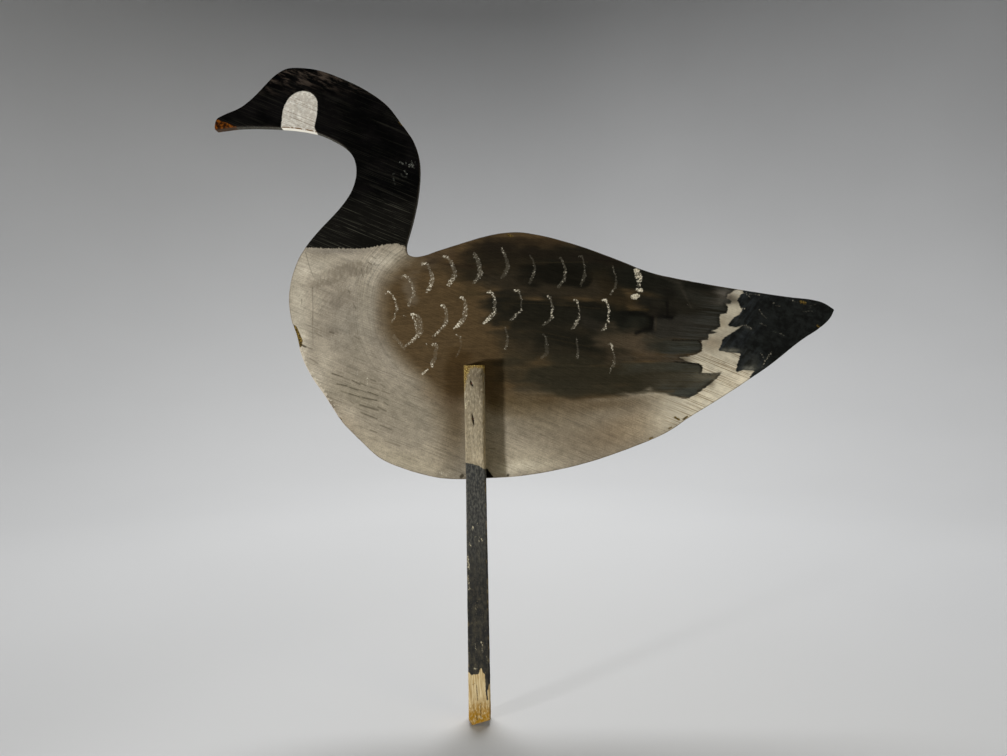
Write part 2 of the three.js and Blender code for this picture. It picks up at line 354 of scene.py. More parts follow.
# Brush strokes on the wing: start, end, half width, colour, strength, softness of the edge in pixels
WING_COLOUR = (75, 61, 41)
WING_STROKES = [
    ((405, 300), (450, 300), 30, (73, 59, 39), 0.5, 24),
    ((409, 279), (412, 300), 4, (94, 84, 70), 0.7, 8),
    ((418, 262), (432, 263), 5, (90, 79, 62), 0.75, 8),
    ((434, 257), (450, 253), 5, (78, 64, 49), 0.6, 8),
    ((438, 265), (472, 283), 6, (50, 42, 29), 0.6, 10),
    ((455, 258), (470, 256), 5, (55, 43, 28), 0.6, 8),
    ((486, 259), (650, 272), 21, (31, 27, 19), 0.95, 12),
    ((560, 262), (660, 278), 18, (22, 22, 17), 0.8, 14),
    ((476, 243), (560, 243), 5, (44, 35, 24), 0.6, 6),
    ((490, 247), (640, 264), 6, (28, 24, 18), 0.8, 5),
    ((476, 272), (520, 273), 7, (36, 31, 21), 0.8, 8),
    ((492, 283), (596, 287), 12, (42, 37, 28), 0.95, 9),
    ((500, 302), (606, 305), 2.6, (22, 21, 16), 0.85, 4),
    ((462, 291), (478, 293), 5, (57, 48, 31), 0.6, 8),
    ((430, 263), (490, 268), 1.6, (37, 29, 20), 0.7, 4),
    ((501, 313), (612, 315), 14.5, (25, 24, 18), 0.97, 9),
    ((498, 324), (560, 328), 5.5, (24, 23, 17), 0.9, 4),
    ((562, 314), (606, 318), 7, (30, 29, 23), 0.7, 8),
    ((470, 346), (493, 350), 14, (72, 58, 38), 0.5, 14),
    ((514, 336), (618, 347), 18, (35, 32, 24), 0.95, 12),
    ((534, 357), (600, 361), 4.5, (39, 36, 27), 0.9, 5),
    ((545, 334), (600, 347), 7, (25, 24, 18), 0.85, 6),
    ((508, 346), (526, 348), 7, (52, 45, 33), 0.7, 9),
    ((506, 362), (530, 363), 5, (54, 47, 34), 0.8, 8),
    ((512, 374), (700, 378), 14, (42, 39, 29), 0.97, 10),
    ((504, 368), (522, 372), 7, (53, 46, 33), 0.7, 9),
    ((520, 388), (640, 390), 7, (44, 41, 31), 0.9, 7),
    ((506, 388), (535, 390), 6, (62, 54, 40), 0.7, 9),
    # Partly the wing's brown, partly painted shade: the soft shadow that the stake casts to its left.
    ((454, 356), (457, 388), 9, (55, 41, 21), 0.7, 8),
    ((536, 271), (583, 277.5), 10.5, (18, 17, 12), 0.9, 2.5),
    ((598, 276), (618, 297), 9, (36, 31, 21), 0.9, 7),
    ((632, 278), (690, 288), 13, (25, 25, 20), 0.95, 8),
    ((604, 301), (648, 302), 4, (44, 37, 25), 0.85, 4),
    ((555, 307), (600, 306.5), 1.4, (14, 13, 10), 0.6, 2.5),
    ((655, 304), (722, 310), 12.5, (29, 28, 23), 0.95, 6),
    ((640, 326), (712, 328), 13, (41, 40, 36), 0.95, 6),
    ((646, 312), (672, 313), 5, (21, 20, 16), 0.8, 5),
    ((620, 310), (648, 310), 1.4, (52, 43, 27), 0.85, 2.5),
    ((600, 322), (642, 323), 11.5, (23, 23, 18), 0.97, 2.5),
    ((628, 322), (640, 321), 6, (28, 29, 24), 0.7, 5),
    ((580, 320), (601, 327), 5, (40, 37, 31), 0.75, 5),
    ((624, 313), (649, 314), 1.9, (13, 13, 10), 0.85, 2.5),
    ((690, 290), (742, 297), 8, (34, 33, 28), 0.95, 5),
    ((644, 276), (744, 291), 5, (22, 22, 18), 0.95, 4),
    ((694, 297), (726, 303), 2.5, (46, 46, 41), 0.6, 5),
    ((719, 296), (726, 296), 2.5, (58, 54, 48), 0.85, 3),
    ((726, 293.4), (736, 292), 2.2, (94, 90, 84), 0.85, 3),
    ((610, 340), (650, 344), 8, (70, 61, 48), 0.85, 8),
    ((636, 345), (650, 354), 8, (72, 62, 49), 0.9, 7),
    ((612, 357), (680, 359), 4.5, (62, 53, 41), 0.85, 6),
    ((652, 347), (695, 346.5), 6.8, (43, 43, 37), 0.95, 2.5),
    ((625, 367.5), (697, 367.5), 5, (54, 53, 45), 0.9, 2.5),
    ((648, 381), (704, 378), 8, (50, 46, 36), 0.9, 5),
    ((664, 380), (704, 377), 8, (62, 58, 47), 0.8, 6),
    ((690, 386), (704, 384), 4, (64, 60, 50), 0.75, 4),
    ((700, 377), (720, 375), 5, (96, 90, 76), 0.9, 4),
    ((670, 393), (693, 392.5), 4.0, (58, 60, 56), 0.9, 2.5),
    ((698, 386), (708, 380), 1.5, (60, 62, 58), 0.7, 3),
    ((651.5, 315), (651, 327), 1.8, (11, 11, 9), 0.85, 2.5),
    ((651, 327), (636, 333.5), 1.4, (13, 13, 11), 0.8, 2.5),
    ((656, 314), (655.5, 330), 0.9, (60, 53, 42), 0.75, 2.2),
    ((667, 298), (667.5, 316), 0.9, (13, 12, 10), 0.85, 2),
    ((661.5, 317.2), (672, 317.8), 1.6, (9, 9, 8), 0.9, 2),
    ((656, 275), (679, 283), 0.8, (54, 51, 44), 0.5, 2),
    ((679, 283), (691, 307), 0.8, (56, 53, 46), 0.55, 2),
    ((668, 332), (712, 334), 1.2, (52, 51, 46), 0.4, 2.5),
    ((672, 349), (700, 348), 2, (50, 53, 50), 0.5, 3),
]

# Feather dabs on the wing, each a line of (x, y, half width, load)
FEATHER_DABS = [
    [(385.5, 293.5, 0.8, 0.7), (388.5, 291.5, 0.8, 0.81), (392.5, 295.5, 0.9, 0.7), (395.5, 301, 1, 0.65),
     (397, 308, 1.2, 0.65), (395, 315, 1, 0.51), (392.5, 321, 1, 0.7)],
    [(401.5, 277.5, 1, 0.5), (405, 275.3, 1.2, 0.7), (408.5, 278.5, 1.1, 0.55), (412, 283.5, 1.2, 0.5),
     (413.5, 291, 1.6, 0.5), (414, 296, 1.4, 0.5), (410.5, 299, 1.4, 0.5), (408.5, 306, 1.2, 0.6)],
    [(422, 264.3, 1.2, 0.74), (425.5, 263, 1.4, 0.74), (428.8, 266, 1, 0.47), (430.5, 272, 1.8, 0.47),
     (432.5, 279, 2.2, 0.56), (431, 284.5, 2.2, 0.7), (429, 289, 1.8, 0.65), (426.5, 292, 1, 0.84)],
    [(443.5, 256.5, 1.6, 0.76), (448, 257.5, 1.5, 0.48), (451.5, 263, 1.8, 0.56), (454, 270, 2.2, 0.4),
     (455, 275, 2.2, 0.48), (452.5, 279, 2.6, 0.63), (448.5, 285, 1.8, 0.76)],
    [(474.5, 254, 1.8, 0.55), (477.5, 259.5, 2.4, 0.45), (479.5, 267, 2.2, 0.45), (480.5, 273, 2.6, 0.6),
     (477.5, 278.5, 1.8, 0.5), (474.5, 282.5, 1.4, 0.7)],
    [(502, 249, 1.2, 0.63), (504.5, 254, 1.6, 0.45), (506.5, 260, 1.6, 0.36), (508, 267, 2.4, 0.45),
     (505.5, 273, 2.4, 0.36), (502.5, 277, 1.8, 0.23)],
    [(530, 255.5, 1, 0.27), (533.5, 261, 1, 0.27), (535, 267, 1.2, 0.36), (533.5, 275, 1.6, 0.5),
     (529.5, 283, 1.4, 0.27)],
    [(560.5, 257.8, 1.2, 0.51), (563, 262.5, 1.1, 0.51), (565.5, 269, 1.3, 0.51),
     (564.5, 279.5, 1.5, 0.51), (561, 283, 1.6, 0.42), (558.5, 287, 1.6, 0.3)],
    [(579, 256.5, 0.9, 0.34), (582, 256, 1, 0.46), (583.5, 261, 0.9, 0.34), (584.5, 269, 0.8, 0.31),
     (584.5, 276, 2, 0.38), (581, 284.5, 1.3, 0.38)],
    [(612.5, 266, 0.8, 0.4), (614, 270.5, 0.8, 0.5), (616, 278, 0.8, 0.4), (615.5, 287, 1.4, 0.4),
     (612.5, 291, 1, 0.6), (610.5, 295.5, 0.8, 0.4)],
    [(635.5, 270.6, 2, 1), (638, 270.8, 2, 1)],
    [(636.5, 273.8, 1.8, 0.9), (639.5, 274.2, 1.8, 0.9)],
    [(636.8, 277.3, 1.8, 1), (640.2, 276.8, 2, 1)],
    [(638, 281, 1.5, 0.75), (640.6, 280, 1.8, 0.8)],
    [(638.6, 285.2, 1.8, 0.6), (639.4, 284.4, 1.8, 0.68)],
    [(637.6, 289.6, 1.8, 0.9), (641, 290.2, 2, 1)],
    [(632.6, 297, 2, 1), (635.5, 296.6, 3, 1), (637.8, 295.6, 2.2, 0.95)],
    [(411.5, 314.6, 1.2, 0.88), (414, 318.5, 1, 0.62), (416, 323.5, 1.4, 0.7), (416.5, 330, 1.2, 0.53),
     (417, 336, 1.4, 0.79), (413.5, 340, 1.8, 0.75), (409.5, 343, 1.2, 0.7), (404.5, 346.8, 0.7, 0.62)],
    [(413, 313.8, 1, 0.9), (417.5, 315.3, 1.6, 0.5), (419.6, 320.5, 2.6, 0.42), (420.2, 326, 3, 0.42),
     (420.2, 332, 2.6, 0.5), (417.5, 336.5, 1.6, 0.7)],
    [(441, 305.5, 1, 0.9), (443.5, 305.5, 1.1, 0.85), (446, 310, 1.5, 0.54), (446.6, 315, 1.8, 0.5),
     (446, 321, 2.2, 0.54), (444.5, 325.5, 2, 0.59), (440.5, 329.8, 1.3, 0.54), (438, 332.5, 1.3, 0.77),
     (433, 336.3, 0.9, 0.85)],
    [(460, 297.7, 1.1, 0.79), (462.5, 297.5, 1.3, 0.88), (465, 301.5, 1.4, 0.53),
     (465.8, 307.5, 2.2, 0.57), (465, 313, 2.5, 0.57), (464.2, 318, 2.1, 0.57), (460.5, 322.5, 2.2, 0.75),
     (457.5, 326, 1.8, 0.88), (454, 328.5, 1, 0.88)],
    [(487.5, 292, 1.1, 0.86), (491, 291.8, 1.3, 0.86), (493.5, 295.5, 1.3, 0.6), (495, 301, 1.8, 0.52),
     (494.5, 308, 1.6, 0.52), (495, 312, 1.4, 0.77), (491, 316.5, 2.2, 0.69), (487, 320.5, 1.6, 0.86),
     (484, 323.3, 1.2, 0.86)],
    [(514.5, 290.4, 1.3, 0.81), (518.5, 290.6, 1.3, 0.77), (520.2, 295, 0.8, 0.54),
     (521.5, 300.5, 0.9, 0.45), (520.8, 306, 0.8, 0.36), (521.8, 310, 1, 0.63), (518.5, 312.5, 1.1, 0.54),
     (515.5, 315.5, 1.6, 0.54), (510.5, 320.5, 1, 0.54)],
    [(547.5, 296.3, 1, 0.74), (549.8, 297, 1, 0.64), (551.2, 302, 1.2, 0.46), (552.7, 307.5, 1.2, 0.64),
     (551.5, 312, 1.1, 0.74), (552.3, 317, 1.3, 0.74), (548.5, 321, 1.4, 0.37), (543.5, 324.5, 1, 0.55)],
    [(573.5, 299.6, 0.9, 0.76), (576.5, 300, 1.1, 0.76), (578.5, 305.5, 0.7, 0.66),
     (579.6, 311, 0.8, 0.47), (578.7, 318.5, 1.3, 0.66), (576.5, 322.5, 1.6, 0.76),
     (574.5, 326, 1.8, 0.66), (571, 329.3, 0.8, 0.38)],
    [(602.5, 300, 1.1, 0.86), (606, 300.3, 1.4, 0.86), (607.6, 305, 1, 0.81), (609.2, 310.5, 1.1, 0.77),
     (608.3, 316, 1, 0.69), (608.2, 322, 1.3, 0.77)],
    [(605.5, 324.5, 1, 0.58), (605.3, 328, 1.2, 0.73), (602, 330.5, 0.8, 0.65)],
    [(432.5, 344.5, 1.2, 0.79), (435.5, 344, 1.2, 0.65), (437.5, 347, 1.2, 0.47), (435.5, 352, 2, 0.28),
     (435, 358, 2, 0.33), (432, 363, 2, 0.56), (431.8, 366.5, 1.2, 0.88)],
    [(427.5, 369.5, 0.9, 0.9), (422.5, 373.8, 1.3, 1)],
    [(426.4, 344.3, 0.8, 0.75), (427.2, 344.3, 0.8, 0.75)],
    [(404.2, 316, 0.7, 0.7), (405.8, 316.2, 0.8, 0.7)],
    [(456, 334.5, 0.8, 0.45), (460, 337, 0.9, 0.45), (461.5, 345, 0.9, 0.27), (458.5, 353, 1, 0.27),
     (456.5, 356.5, 1, 0.38)],
    [(505, 327.5, 1, 0.37), (507.5, 335, 1, 0.37), (507.5, 342, 1.4, 0.33), (505.5, 348.5, 1, 0.59)],
    [(543, 334.5, 1.2, 0.25), (546, 337, 1.2, 0.38), (546.5, 345, 2, 0.2), (547, 353, 2, 0.2),
     (541.5, 358, 1.4, 0.38)],
    [(576.5, 339, 1, 0.55), (577, 344, 1, 0.4), (578, 350, 1.2, 0.33), (577.5, 357.5, 1.4, 0.44)],
    [(608.5, 344, 0.8, 0.62), (611.5, 344.3, 1.2, 0.81), (613, 351.5, 0.9, 0.5), (614.5, 358, 1, 0.41),
     (613.5, 366, 1.6, 0.53)],
    [(611, 368.5, 0.8, 0.56), (609.5, 373.5, 0.8, 0.47)],
    [(394, 336, 1.6, 0.35), (399, 342, 1.6, 0.35), (404, 348.5, 1.6, 0.44)],
]

# Scratches and scuffs that show light: start, end, half width, load
LIGHT_SCRATCHES = [
    ((400.5, 162), (403, 164.2), 0.9, 0.5),
    ((405.6, 162), (406.2, 164), 0.7, 0.36),
    ((409.6, 165.6), (413, 165), 1.5, 0.5),
    ((411.8, 161), (411.6, 164), 0.6, 0.42),
    ((414.8, 161), (415.6, 164.4), 0.6, 0.4),
    ((413, 166.5), (414.6, 169), 0.6, 0.42),
    ((405, 171), (406.6, 174.5), 1, 0.38),
    ((402.4, 176.4), (406.6, 177), 0.7, 0.34),
    ((393.4, 178.4), (394, 180.4), 1.1, 0.26),
    ((392.8, 174.4), (394, 173.8), 1, 0.2),
    ((394.6, 183), (395.2, 184.4), 0.9, 0.16),
    ((401, 174), (402, 176), 1, 0.2),
    ((737, 291.5), (743, 293), 0.9, 0.7),
    ((744, 293.5), (760, 295), 0.45, 0.45),
    ((746, 293), (750, 297.5), 0.5, 0.45),
    ((772, 304.5), (774, 303.5), 0.6, 0.45),
    ((776, 305.5), (781, 306), 0.6, 0.35),
    ((759.5, 309.5), (762.5, 314.5), 0.6, 0.5),
    ((763, 315), (767, 319), 0.6, 0.25),
    ((792, 300.5), (798, 302.5), 0.5, 0.4),
    ((745, 325), (751.5, 328.5), 0.6, 0.5),
    ((760, 323), (766, 326), 0.7, 0.28),
    ((780, 333.5), (784, 335.5), 0.6, 0.42),
    ((774, 331.5), (776, 332.3), 0.6, 0.3),
    ((761, 353), (764, 358), 0.6, 0.5),
    ((772, 351.5), (765, 361), 0.6, 0.62),
    ((765, 361), (762, 368), 0.6, 0.56),
    ((803, 311.5), (812, 311), 0.5, 0.3),
    ((808, 306), (816, 304), 0.6, 0.28),
    ((809, 308.5), (813, 307), 0.6, 0.33),
    ((741, 308), (744, 308.4), 0.8, 0.7),
    ((357.5, 371), (357, 377), 0.7, 0.4),
    ((367.2, 378.5), (367.5, 385), 0.7, 0.5),
    ((374, 257), (384, 260.5), 0.6, 0.4),
    ((378, 268), (387, 256.5), 0.8, 0.35),
    ((301.5, 351), (304.5, 358.5), 0.8, 0.5),
    ((314.5, 377), (318.5, 386), 1.2, 0.6),
    ((322, 391), (327, 397), 1.0, 0.4),
    ((367, 433), (371, 437), 1.0, 0.35),
    ((686, 303.5), (690, 307), 0.5, 0.22),
    ((394, 423.5), (400, 427), 0.5, 0.3),
    ((441, 473), (446, 475.4), 1.6, 0.5),
    ((450, 472.6), (452, 475), 1, 0.4),
    ((503, 471.5), (512, 474.5), 1.8, 0.4),
]

# Cracks, drips and dirty strokes that show dark: start, end, half width, load
DARK_STROKES = [
    ((305.5, 252), (309.5, 267), 0.35, 0.6),
    ((309.5, 267), (313.5, 277), 0.35, 0.55),
    ((312.2, 287), (313, 310), 0.35, 0.5),
    ((313, 310), (312.4, 326), 0.31, 0.69),
    ((312.4, 326), (313, 345), 0.35, 0.4),
    ((281, 127.6), (300, 128.4), 0.35, 0.7),
    ((300, 344.2), (305.5, 346.8), 0.9, 0.9),
    ((305.5, 346.8), (312, 349), 0.34, 0.75),
    ((301.6, 299), (301.8, 304), 0.34, 0.62),
    ((372, 256.5), (376, 258.5), 0.54, 0.56),
    ((368, 262), (372, 265), 0.61, 0.62),
    ((374, 264), (376, 266), 0.61, 0.5),
    ((367.5, 266), (366.5, 273), 0.41, 0.44),
    ((361, 268), (363.5, 277), 0.41, 0.44),
    ((356, 268), (356.5, 276), 0.41, 0.44),
    ((348, 290), (350, 293), 0.54, 0.5),
    ((353, 303), (356, 309), 0.61, 0.44),
    ((330, 332), (334, 333), 0.88, 0.5),
    ((316, 333), (322, 336.5), 0.48, 0.5),
    ((354, 336), (359, 339), 0.54, 0.44),
    ((332, 373.5), (343, 377), 0.54, 0.78),
    ((336, 371), (344, 373.5), 0.34, 0.44),
    ((343, 377.5), (350, 380), 0.41, 0.53),
    ((352, 380.5), (360, 384.5), 0.54, 0.78),
    ((360, 382.5), (366, 385.5), 0.41, 0.62),
    ((370, 379), (376, 381.5), 0.54, 0.62),
    ((371, 382.5), (378, 384.5), 0.41, 0.53),
    ((337, 384), (347, 386), 0.61, 0.78),
    ((349, 387), (358, 390), 0.54, 0.78),
    ((358, 389.5), (366, 392), 0.41, 0.62),
    ((368, 392), (378, 395.5), 0.61, 0.81),
    ((370, 386.5), (380, 390.5), 0.34, 0.53),
    ((380, 384), (385, 387), 0.41, 0.44),
    ((382, 391), (390, 394), 0.48, 0.56),
    ((341, 391), (347, 393), 0.41, 0.53),
    ((349, 393.5), (360, 397), 0.54, 0.81),
    ((362, 397.5), (377, 400.5), 0.54, 0.81),
    ((380, 396), (388, 400), 0.34, 0.53),
    ((384, 402), (388, 405), 0.54, 0.56),
    ((350, 401), (354, 403.5), 0.41, 0.5),
    ((360, 405), (378, 410), 1.02, 0.53),
    ((378, 407), (386, 411), 0.82, 0.5),
    ((361, 412.5), (377, 419), 0.54, 0.69),
    ((364, 421), (371, 424.5), 0.34, 0.5),
    ((380, 425), (392, 430), 0.48, 0.62),
    ((370, 430), (377, 432.5), 0.48, 0.56),
    ((385, 441), (400, 446), 0.41, 0.5),
    ((310, 358.5), (318, 363.5), 0.48, 0.5),
    ((486.3, 478), (486.8, 470.5), 1.9, 1.0),
    ((490.8, 478.6), (487.5, 474), 3.1, 1.0),
    ((461.2, 476.8), (462.4, 475.4), 1.7, 0.85),
    ((507.8, 475.8), (508.2, 474.8), 1.3, 0.85),
    ((488, 448.5), (495, 448.5), 0.34, 0.62),
    ((536, 262.5), (588, 262), 0.3, 0.95),
    ((545, 290.5), (585, 290.5), 0.3, 0.95),
    ((497, 303), (540, 303.5), 0.3, 0.95),
    ((540, 303.5), (600, 308.5), 0.3, 0.95),
    ((530, 330), (570, 338), 0.3, 0.95),
    ((548, 338), (590, 347), 0.3, 0.95),
    ((653, 316), (652.6, 326), 0.5, 1.0),
    ((672, 340), (698, 340.4), 0.5, 1.0),
    ((698, 340.4), (701.8, 345), 0.5, 1.0),
    ((674, 361.8), (698, 363.9), 0.5, 1.0),
    ((698, 363.9), (702.3, 368), 0.5, 1.0),
]

# Smudged bands on the breast, each a line of (x, y, half width, load)
SMUDGES = [
    [(315, 276, 1.5, 0.4), (332, 273, 4.5, 0.6), (350, 269.5, 7, 0.7), (367, 268, 7, 0.6), (373, 266, 3, 0.4)],
    [(303, 285.5, 2, 0.5), (317, 284, 5, 0.65), (335, 280, 3.5, 0.6), (347, 278, 1, 0.3)],
    [(318, 290, 3, 0.4), (326, 298, 5, 0.4)],
    [(334, 305, 6, 0.5), (346, 296, 8, 0.5), (353, 290, 3, 0.3)],
    [(317, 331, 3, 0.45), (330, 332, 5, 0.6), (337, 333, 3, 0.5)],
    [(351, 326, 4, 0.4), (357, 340, 5, 0.4)],
    [(326, 396, 2, 0.8), (331, 405, 2.2, 0.9), (336, 411, 1.6, 0.6)],
    [(345, 372, 3, 0.3), (352, 368, 4, 0.3)],
]

# Spots where the paint is off: start, end, half width, load
BARE_SPOTS = [
    ((293.6, 329), (298.8, 341), 3.9, 1.0),
    ((298.5, 338), (300, 345), 2.2, 1.0),
    ((330, 406), (336, 415), 0.9, 0.8),
    ((339.6, 418.4), (340.8, 419.8), 1.0, 1.0),
    ((675, 417.3), (679.3, 419.6), 1.0, 1.0),
    ((683.5, 419.3), (687.3, 416.6), 1.0, 1.0),
    ((669, 428.6), (671.5, 427.4), 0.9, 0.9),
    ((650, 438.6), (652.5, 437.4), 0.9, 0.9),
    ((801, 301.8), (805, 303), 1.4, 0.8),
    ((508, 235), (512, 236), 0.9, 0.9),
    ((394.5, 111), (396.5, 114), 0.8, 0.6),
    ((399.5, 122), (402, 125), 0.8, 0.6),
    ((817.4, 325.8), (819.4, 326.4), 0.9, 0.9),
]

# The stake's paint and marks, also on the picture
CHARCOAL_PICTURE = [
    (455, 463), (466, 462.8), (472, 463.6), (477.5, 465.4), (482, 467.6), (486, 469.8), (500, 471),
    (500, 684), (489, 684.3), (487.8, 690.5), (487.9, 699.9), (486.9, 700.6), (486.4, 697), (485.4, 689.3),
    (485.6, 684.3), (485, 679.3), (484.6, 674.3), (482.8, 672.4), (481.5, 667.4), (480, 669.3),
    (478.8, 674), (475, 674.4), (472.9, 674.7), (472.4, 676.2), (470.6, 674.3), (468.1, 671.7), (455, 671),
]
FRAYED_PICTURE = [
    (450, 350), (500, 350), (500, 376), (484.5, 373), (482.5, 368.2), (474, 367.6), (469.5, 369), (467.6, 374),
    (466.4, 381), (465.2, 384), (464.4, 392), (450, 396),
]
STAKE_LIGHT_MARKS = [
    ((472.6, 526.5), (473, 529.6), 0.7, 1.0),
    ((475.4, 523.2), (477.6, 523.8), 0.4, 0.5),
    ((473.8, 538.8), (475.5, 536.3), 0.4, 0.6),
    ((477.5, 538.4), (479.4, 541.6), 0.45, 0.6),
    ((479.8, 536.3), (482.6, 541.6), 0.45, 0.7),
    ((469.4, 543), (470.8, 546.6), 0.6, 0.7),
    ((467.6, 556), (468.6, 569), 0.9, 0.7),
    ((468, 576), (469.3, 590), 0.8, 0.6),
    ((475.2, 603), (476.4, 616), 0.5, 0.4),
    ((481.2, 641.6), (481.5, 642.8), 0.8, 1.0),
    ((475.4, 643), (476, 651), 0.5, 0.6),
    ((482.2, 645), (482.7, 652), 0.5, 0.6),
    ((474.6, 668.4), (476.6, 669.2), 0.9, 0.7),
    ((486.9, 655), (487.4, 668), 0.4, 0.4),
    ((465.4, 391), (465.7, 397), 0.5, 0.9),
    ((465.6, 404), (466, 409), 0.6, 0.9),
    ((467.8, 401), (469.8, 398.6), 0.5, 0.6),
]
STAKE_DARK_MARKS = [
    [(470.4, 381, 0.5, 1), (471.4, 383.4, 1.2, 1), (472.6, 386, 0.6, 1)],
    [(472.2, 413.6, 0.3, 1), (473, 419, 0.9, 1), (473.9, 424.6, 0.5, 1)],
    [(476.6, 685, 0.3, 0.8), (477.2, 693, 0.5, 0.8), (477.6, 701, 0.25, 0.8)],
    [(473, 684.6, 0.3, 0.6), (475, 683.2, 0.3, 0.6)],
    [(480.4, 703, 0.2, 0.6), (480.9, 718, 0.5, 0.6)],
    [(472.6, 705, 0.3, 0.5), (474.6, 711, 0.3, 0.5)],
    [(483.2, 706, 0.3, 0.45), (486.8, 709.4, 0.3, 0.45)],
    [(476.2, 712, 0.3, 0.6), (477.2, 720, 0.6, 0.6)],
    [(483.4, 696, 0.25, 0.4), (484.2, 702, 0.25, 0.4)],
]
STAKE_COLOUR = (132, 121, 99)
STAKE_TONES = [
    ((475, 375), 9, 9, 0, (98, 88, 71), 0.85),
    ((474, 398), 10, 16, 0, (128, 119, 100), 0.8),
    # Painted shade: darker down the right of the stake's upper end, its side away from the light.
    ((481, 380), 4, 16, 0, (84, 74, 57), 0.85),
    ((474, 440), 9, 24, 0, (144, 134, 113), 0.9),
    ((478, 457), 8, 7, 20, (168, 156, 132), 0.8),
]

# Where kinds of paint begin and end: the first number is where there is none, the second where
# it is full
WING_LOW_ROWS = (375, 390)
WING_BREAST_COLUMNS = (480, 400)
WING_BELLY_COLUMNS = (640, 500)
WING_SMOOTH_COLUMNS = (400, 480)
WING_RAGGED_COLUMNS = (440, 560)
ARC_COLUMNS = (470, 400)
ARC_ROWS = (300, 270)
HAZE_COLUMNS = (640, 690)
STROKE_END_COLUMNS = (655, 690)
RUMP_SCRAPED_ROWS = (336, 362)
RUMP_PALE_ROWS = (340, 382)
RUMP_END_ROWS = (391, 388)
RUMP_END_COLUMNS = (636, 706)
LOW_NECK_ROWS = (188, 215)
BROW_ROWS = (100, 72)
WORN_SIDE_ROWS = (338, 350)
WORN_SIDE_END_ROWS = (425, 405)
WORN_SIDE_COLUMNS = (350, 335)
STAINED_ROWS = (690, 712)
TOE_ROWS = (696, 718)
PAINT_ROWS = (600, 560)
BROWN_CHARCOAL_ROWS = (500, 600)

# How the brush lines run
FLOW_MIDDLE = 520  # the wing was brushed over a hump with its top at this column
FLOW_WIDTH = 40
FLAT_FLOW_ROWS = (300, 400)  # the hump flattens out between these rows
ARC_CENTRE = (470, 320)  # the lines on the breast go round this place
ARC_STRETCH = 90  # pixels along an arc for each radian
SCRUBBED_MIDDLE = (333, 296)  # a patch on the breast is scrubbed across the grain
SCRUBBED_REACH = (34, 42)
HATCH_TURN = -52  # degrees, the way that it is scrubbed

# Colours, sRGB from 0 to 255
SMUDGE = (100, 92, 79)
WING_HAZE = (66, 69, 66)
WING_STROKE_ENDS = (20, 20, 19)
RUMP_SCRAPED = (118, 108, 90)
TAIL_SHEEN = (44, 48, 52)
NECK_BLACKS = ((1, 1, 1), (7, 6, 6))
LOW_NECK = (20, 19, 15)
BROW = (66, 57, 50)
NECK_SCRAPED = (56, 55, 48)
CHEEK_WHITES = ((198, 195, 186), (146, 142, 132))
EDGE_GREYS = ((44, 45, 40), (92, 90, 80))
EDGE_WHITE = (232, 228, 214)
ARRIS_BROWN = (96, 68, 34)
BILL_WOODS = ((30, 12, 3), (104, 56, 10))
# painted shade on the bill's sawn edge
BILL_EDGE_SHADE = (58, 47, 36)
# partly dirt, partly painted shade along the face's edge
DIRT_AND_SHADE_RIM = (76, 66, 54)
WORN_RIM = (186, 177, 160)
CHIP_WOODS = ((46, 38, 14), (116, 96, 48))
DIRT = (50, 44, 31)
DEEP_DIRT = (12, 10, 8)
DAB_WHITES = ((178, 170, 148), (228, 222, 204))
NECK_SCRATCH = (176, 180, 170)
FOOT_WOODS = ((148, 122, 74), (200, 184, 146))
FOOT_STAIN = (128, 96, 34)
FOOT_TOE = (140, 102, 6)
STAKE_FLECKS = (168, 160, 140)
CHARCOALS = ((42, 43, 42), (76, 75, 70))
BROWN_CHARCOALS = ((28, 28, 27), (56, 53, 44))
CHARCOAL_RUBBED = (124, 112, 84)
RAW_WOODS = ((96, 72, 14), (196, 172, 92))
END_GRAINS = ((104, 78, 40), (176, 144, 88))
STAKE_ARRIS = (150, 130, 88)
STAKE_LIGHT = (206, 196, 166)
STAKE_DARK = (30, 24, 16)
NAIL_RUSTS = ((38, 30, 24), (92, 54, 30))
FLOOR_GREYS = ((205, 206, 207), (214, 215, 216))


def turned(places, degrees):
    angle = math.radians(degrees)
    x, y = places[:, 0], places[:, 1]
    along = x * math.cos(angle) + y * math.sin(angle)
    across = y * math.cos(angle) - x * math.sin(angle)
    return np.stack([along, across], axis=1)


def grain_places(places):
    """Picture places turned so that the first number runs along the grain, the second across it."""
    return turned(places, math.degrees(GRAIN_SLOPE))


def flow_places(places):
    """Picture places moved up and down so that level lines run as the wing was brushed."""
    x, y = places[:, 0], places[:, 1]
    hump = 0.12 * (np.hypot(x - FLOW_MIDDLE, FLOW_WIDTH) - FLOW_WIDTH)
    return np.stack([x, y - hump * (1 - 0.8 * ease(*FLAT_FLOW_ROWS, y))], axis=1)


def wing_cover(places):
    """How much of the brown and black wing paint covers each place."""
    x, y = places[:, 0], places[:, 1]
    belly = ease(*WING_LOW_ROWS, y) * ease(*WING_BELLY_COLUMNS, x) * ease(*WING_SMOOTH_COLUMNS, x)
    softness = 4 + 20 * ease(*WING_BREAST_COLUMNS, x) + 18 * belly
    ragged = 9 * (layered_noise(x / 26, y / 4, 11) - 0.5) * ease(*WING_RAGGED_COLUMNS, x)
    return ease(-0.5, 0.5, (depth_inside(places, WING_PICTURE) + ragged) / softness)


def airbrushed(places, ground, tones):
    """A ground colour with soft oval tones over it at picture places, as sRGB numbers."""
    colours = np.tile(np.array(ground, float), (len(places), 1))
    for middle, length, height, turn, colour, strength in tones:
        off = turned(places - np.array(middle), turn) / np.array([length, height])
        cover = strength * np.exp(-1.1 * (off**2).sum(1))
        colours += cover[:, None] * (np.array(colour) - colours)
    return colours


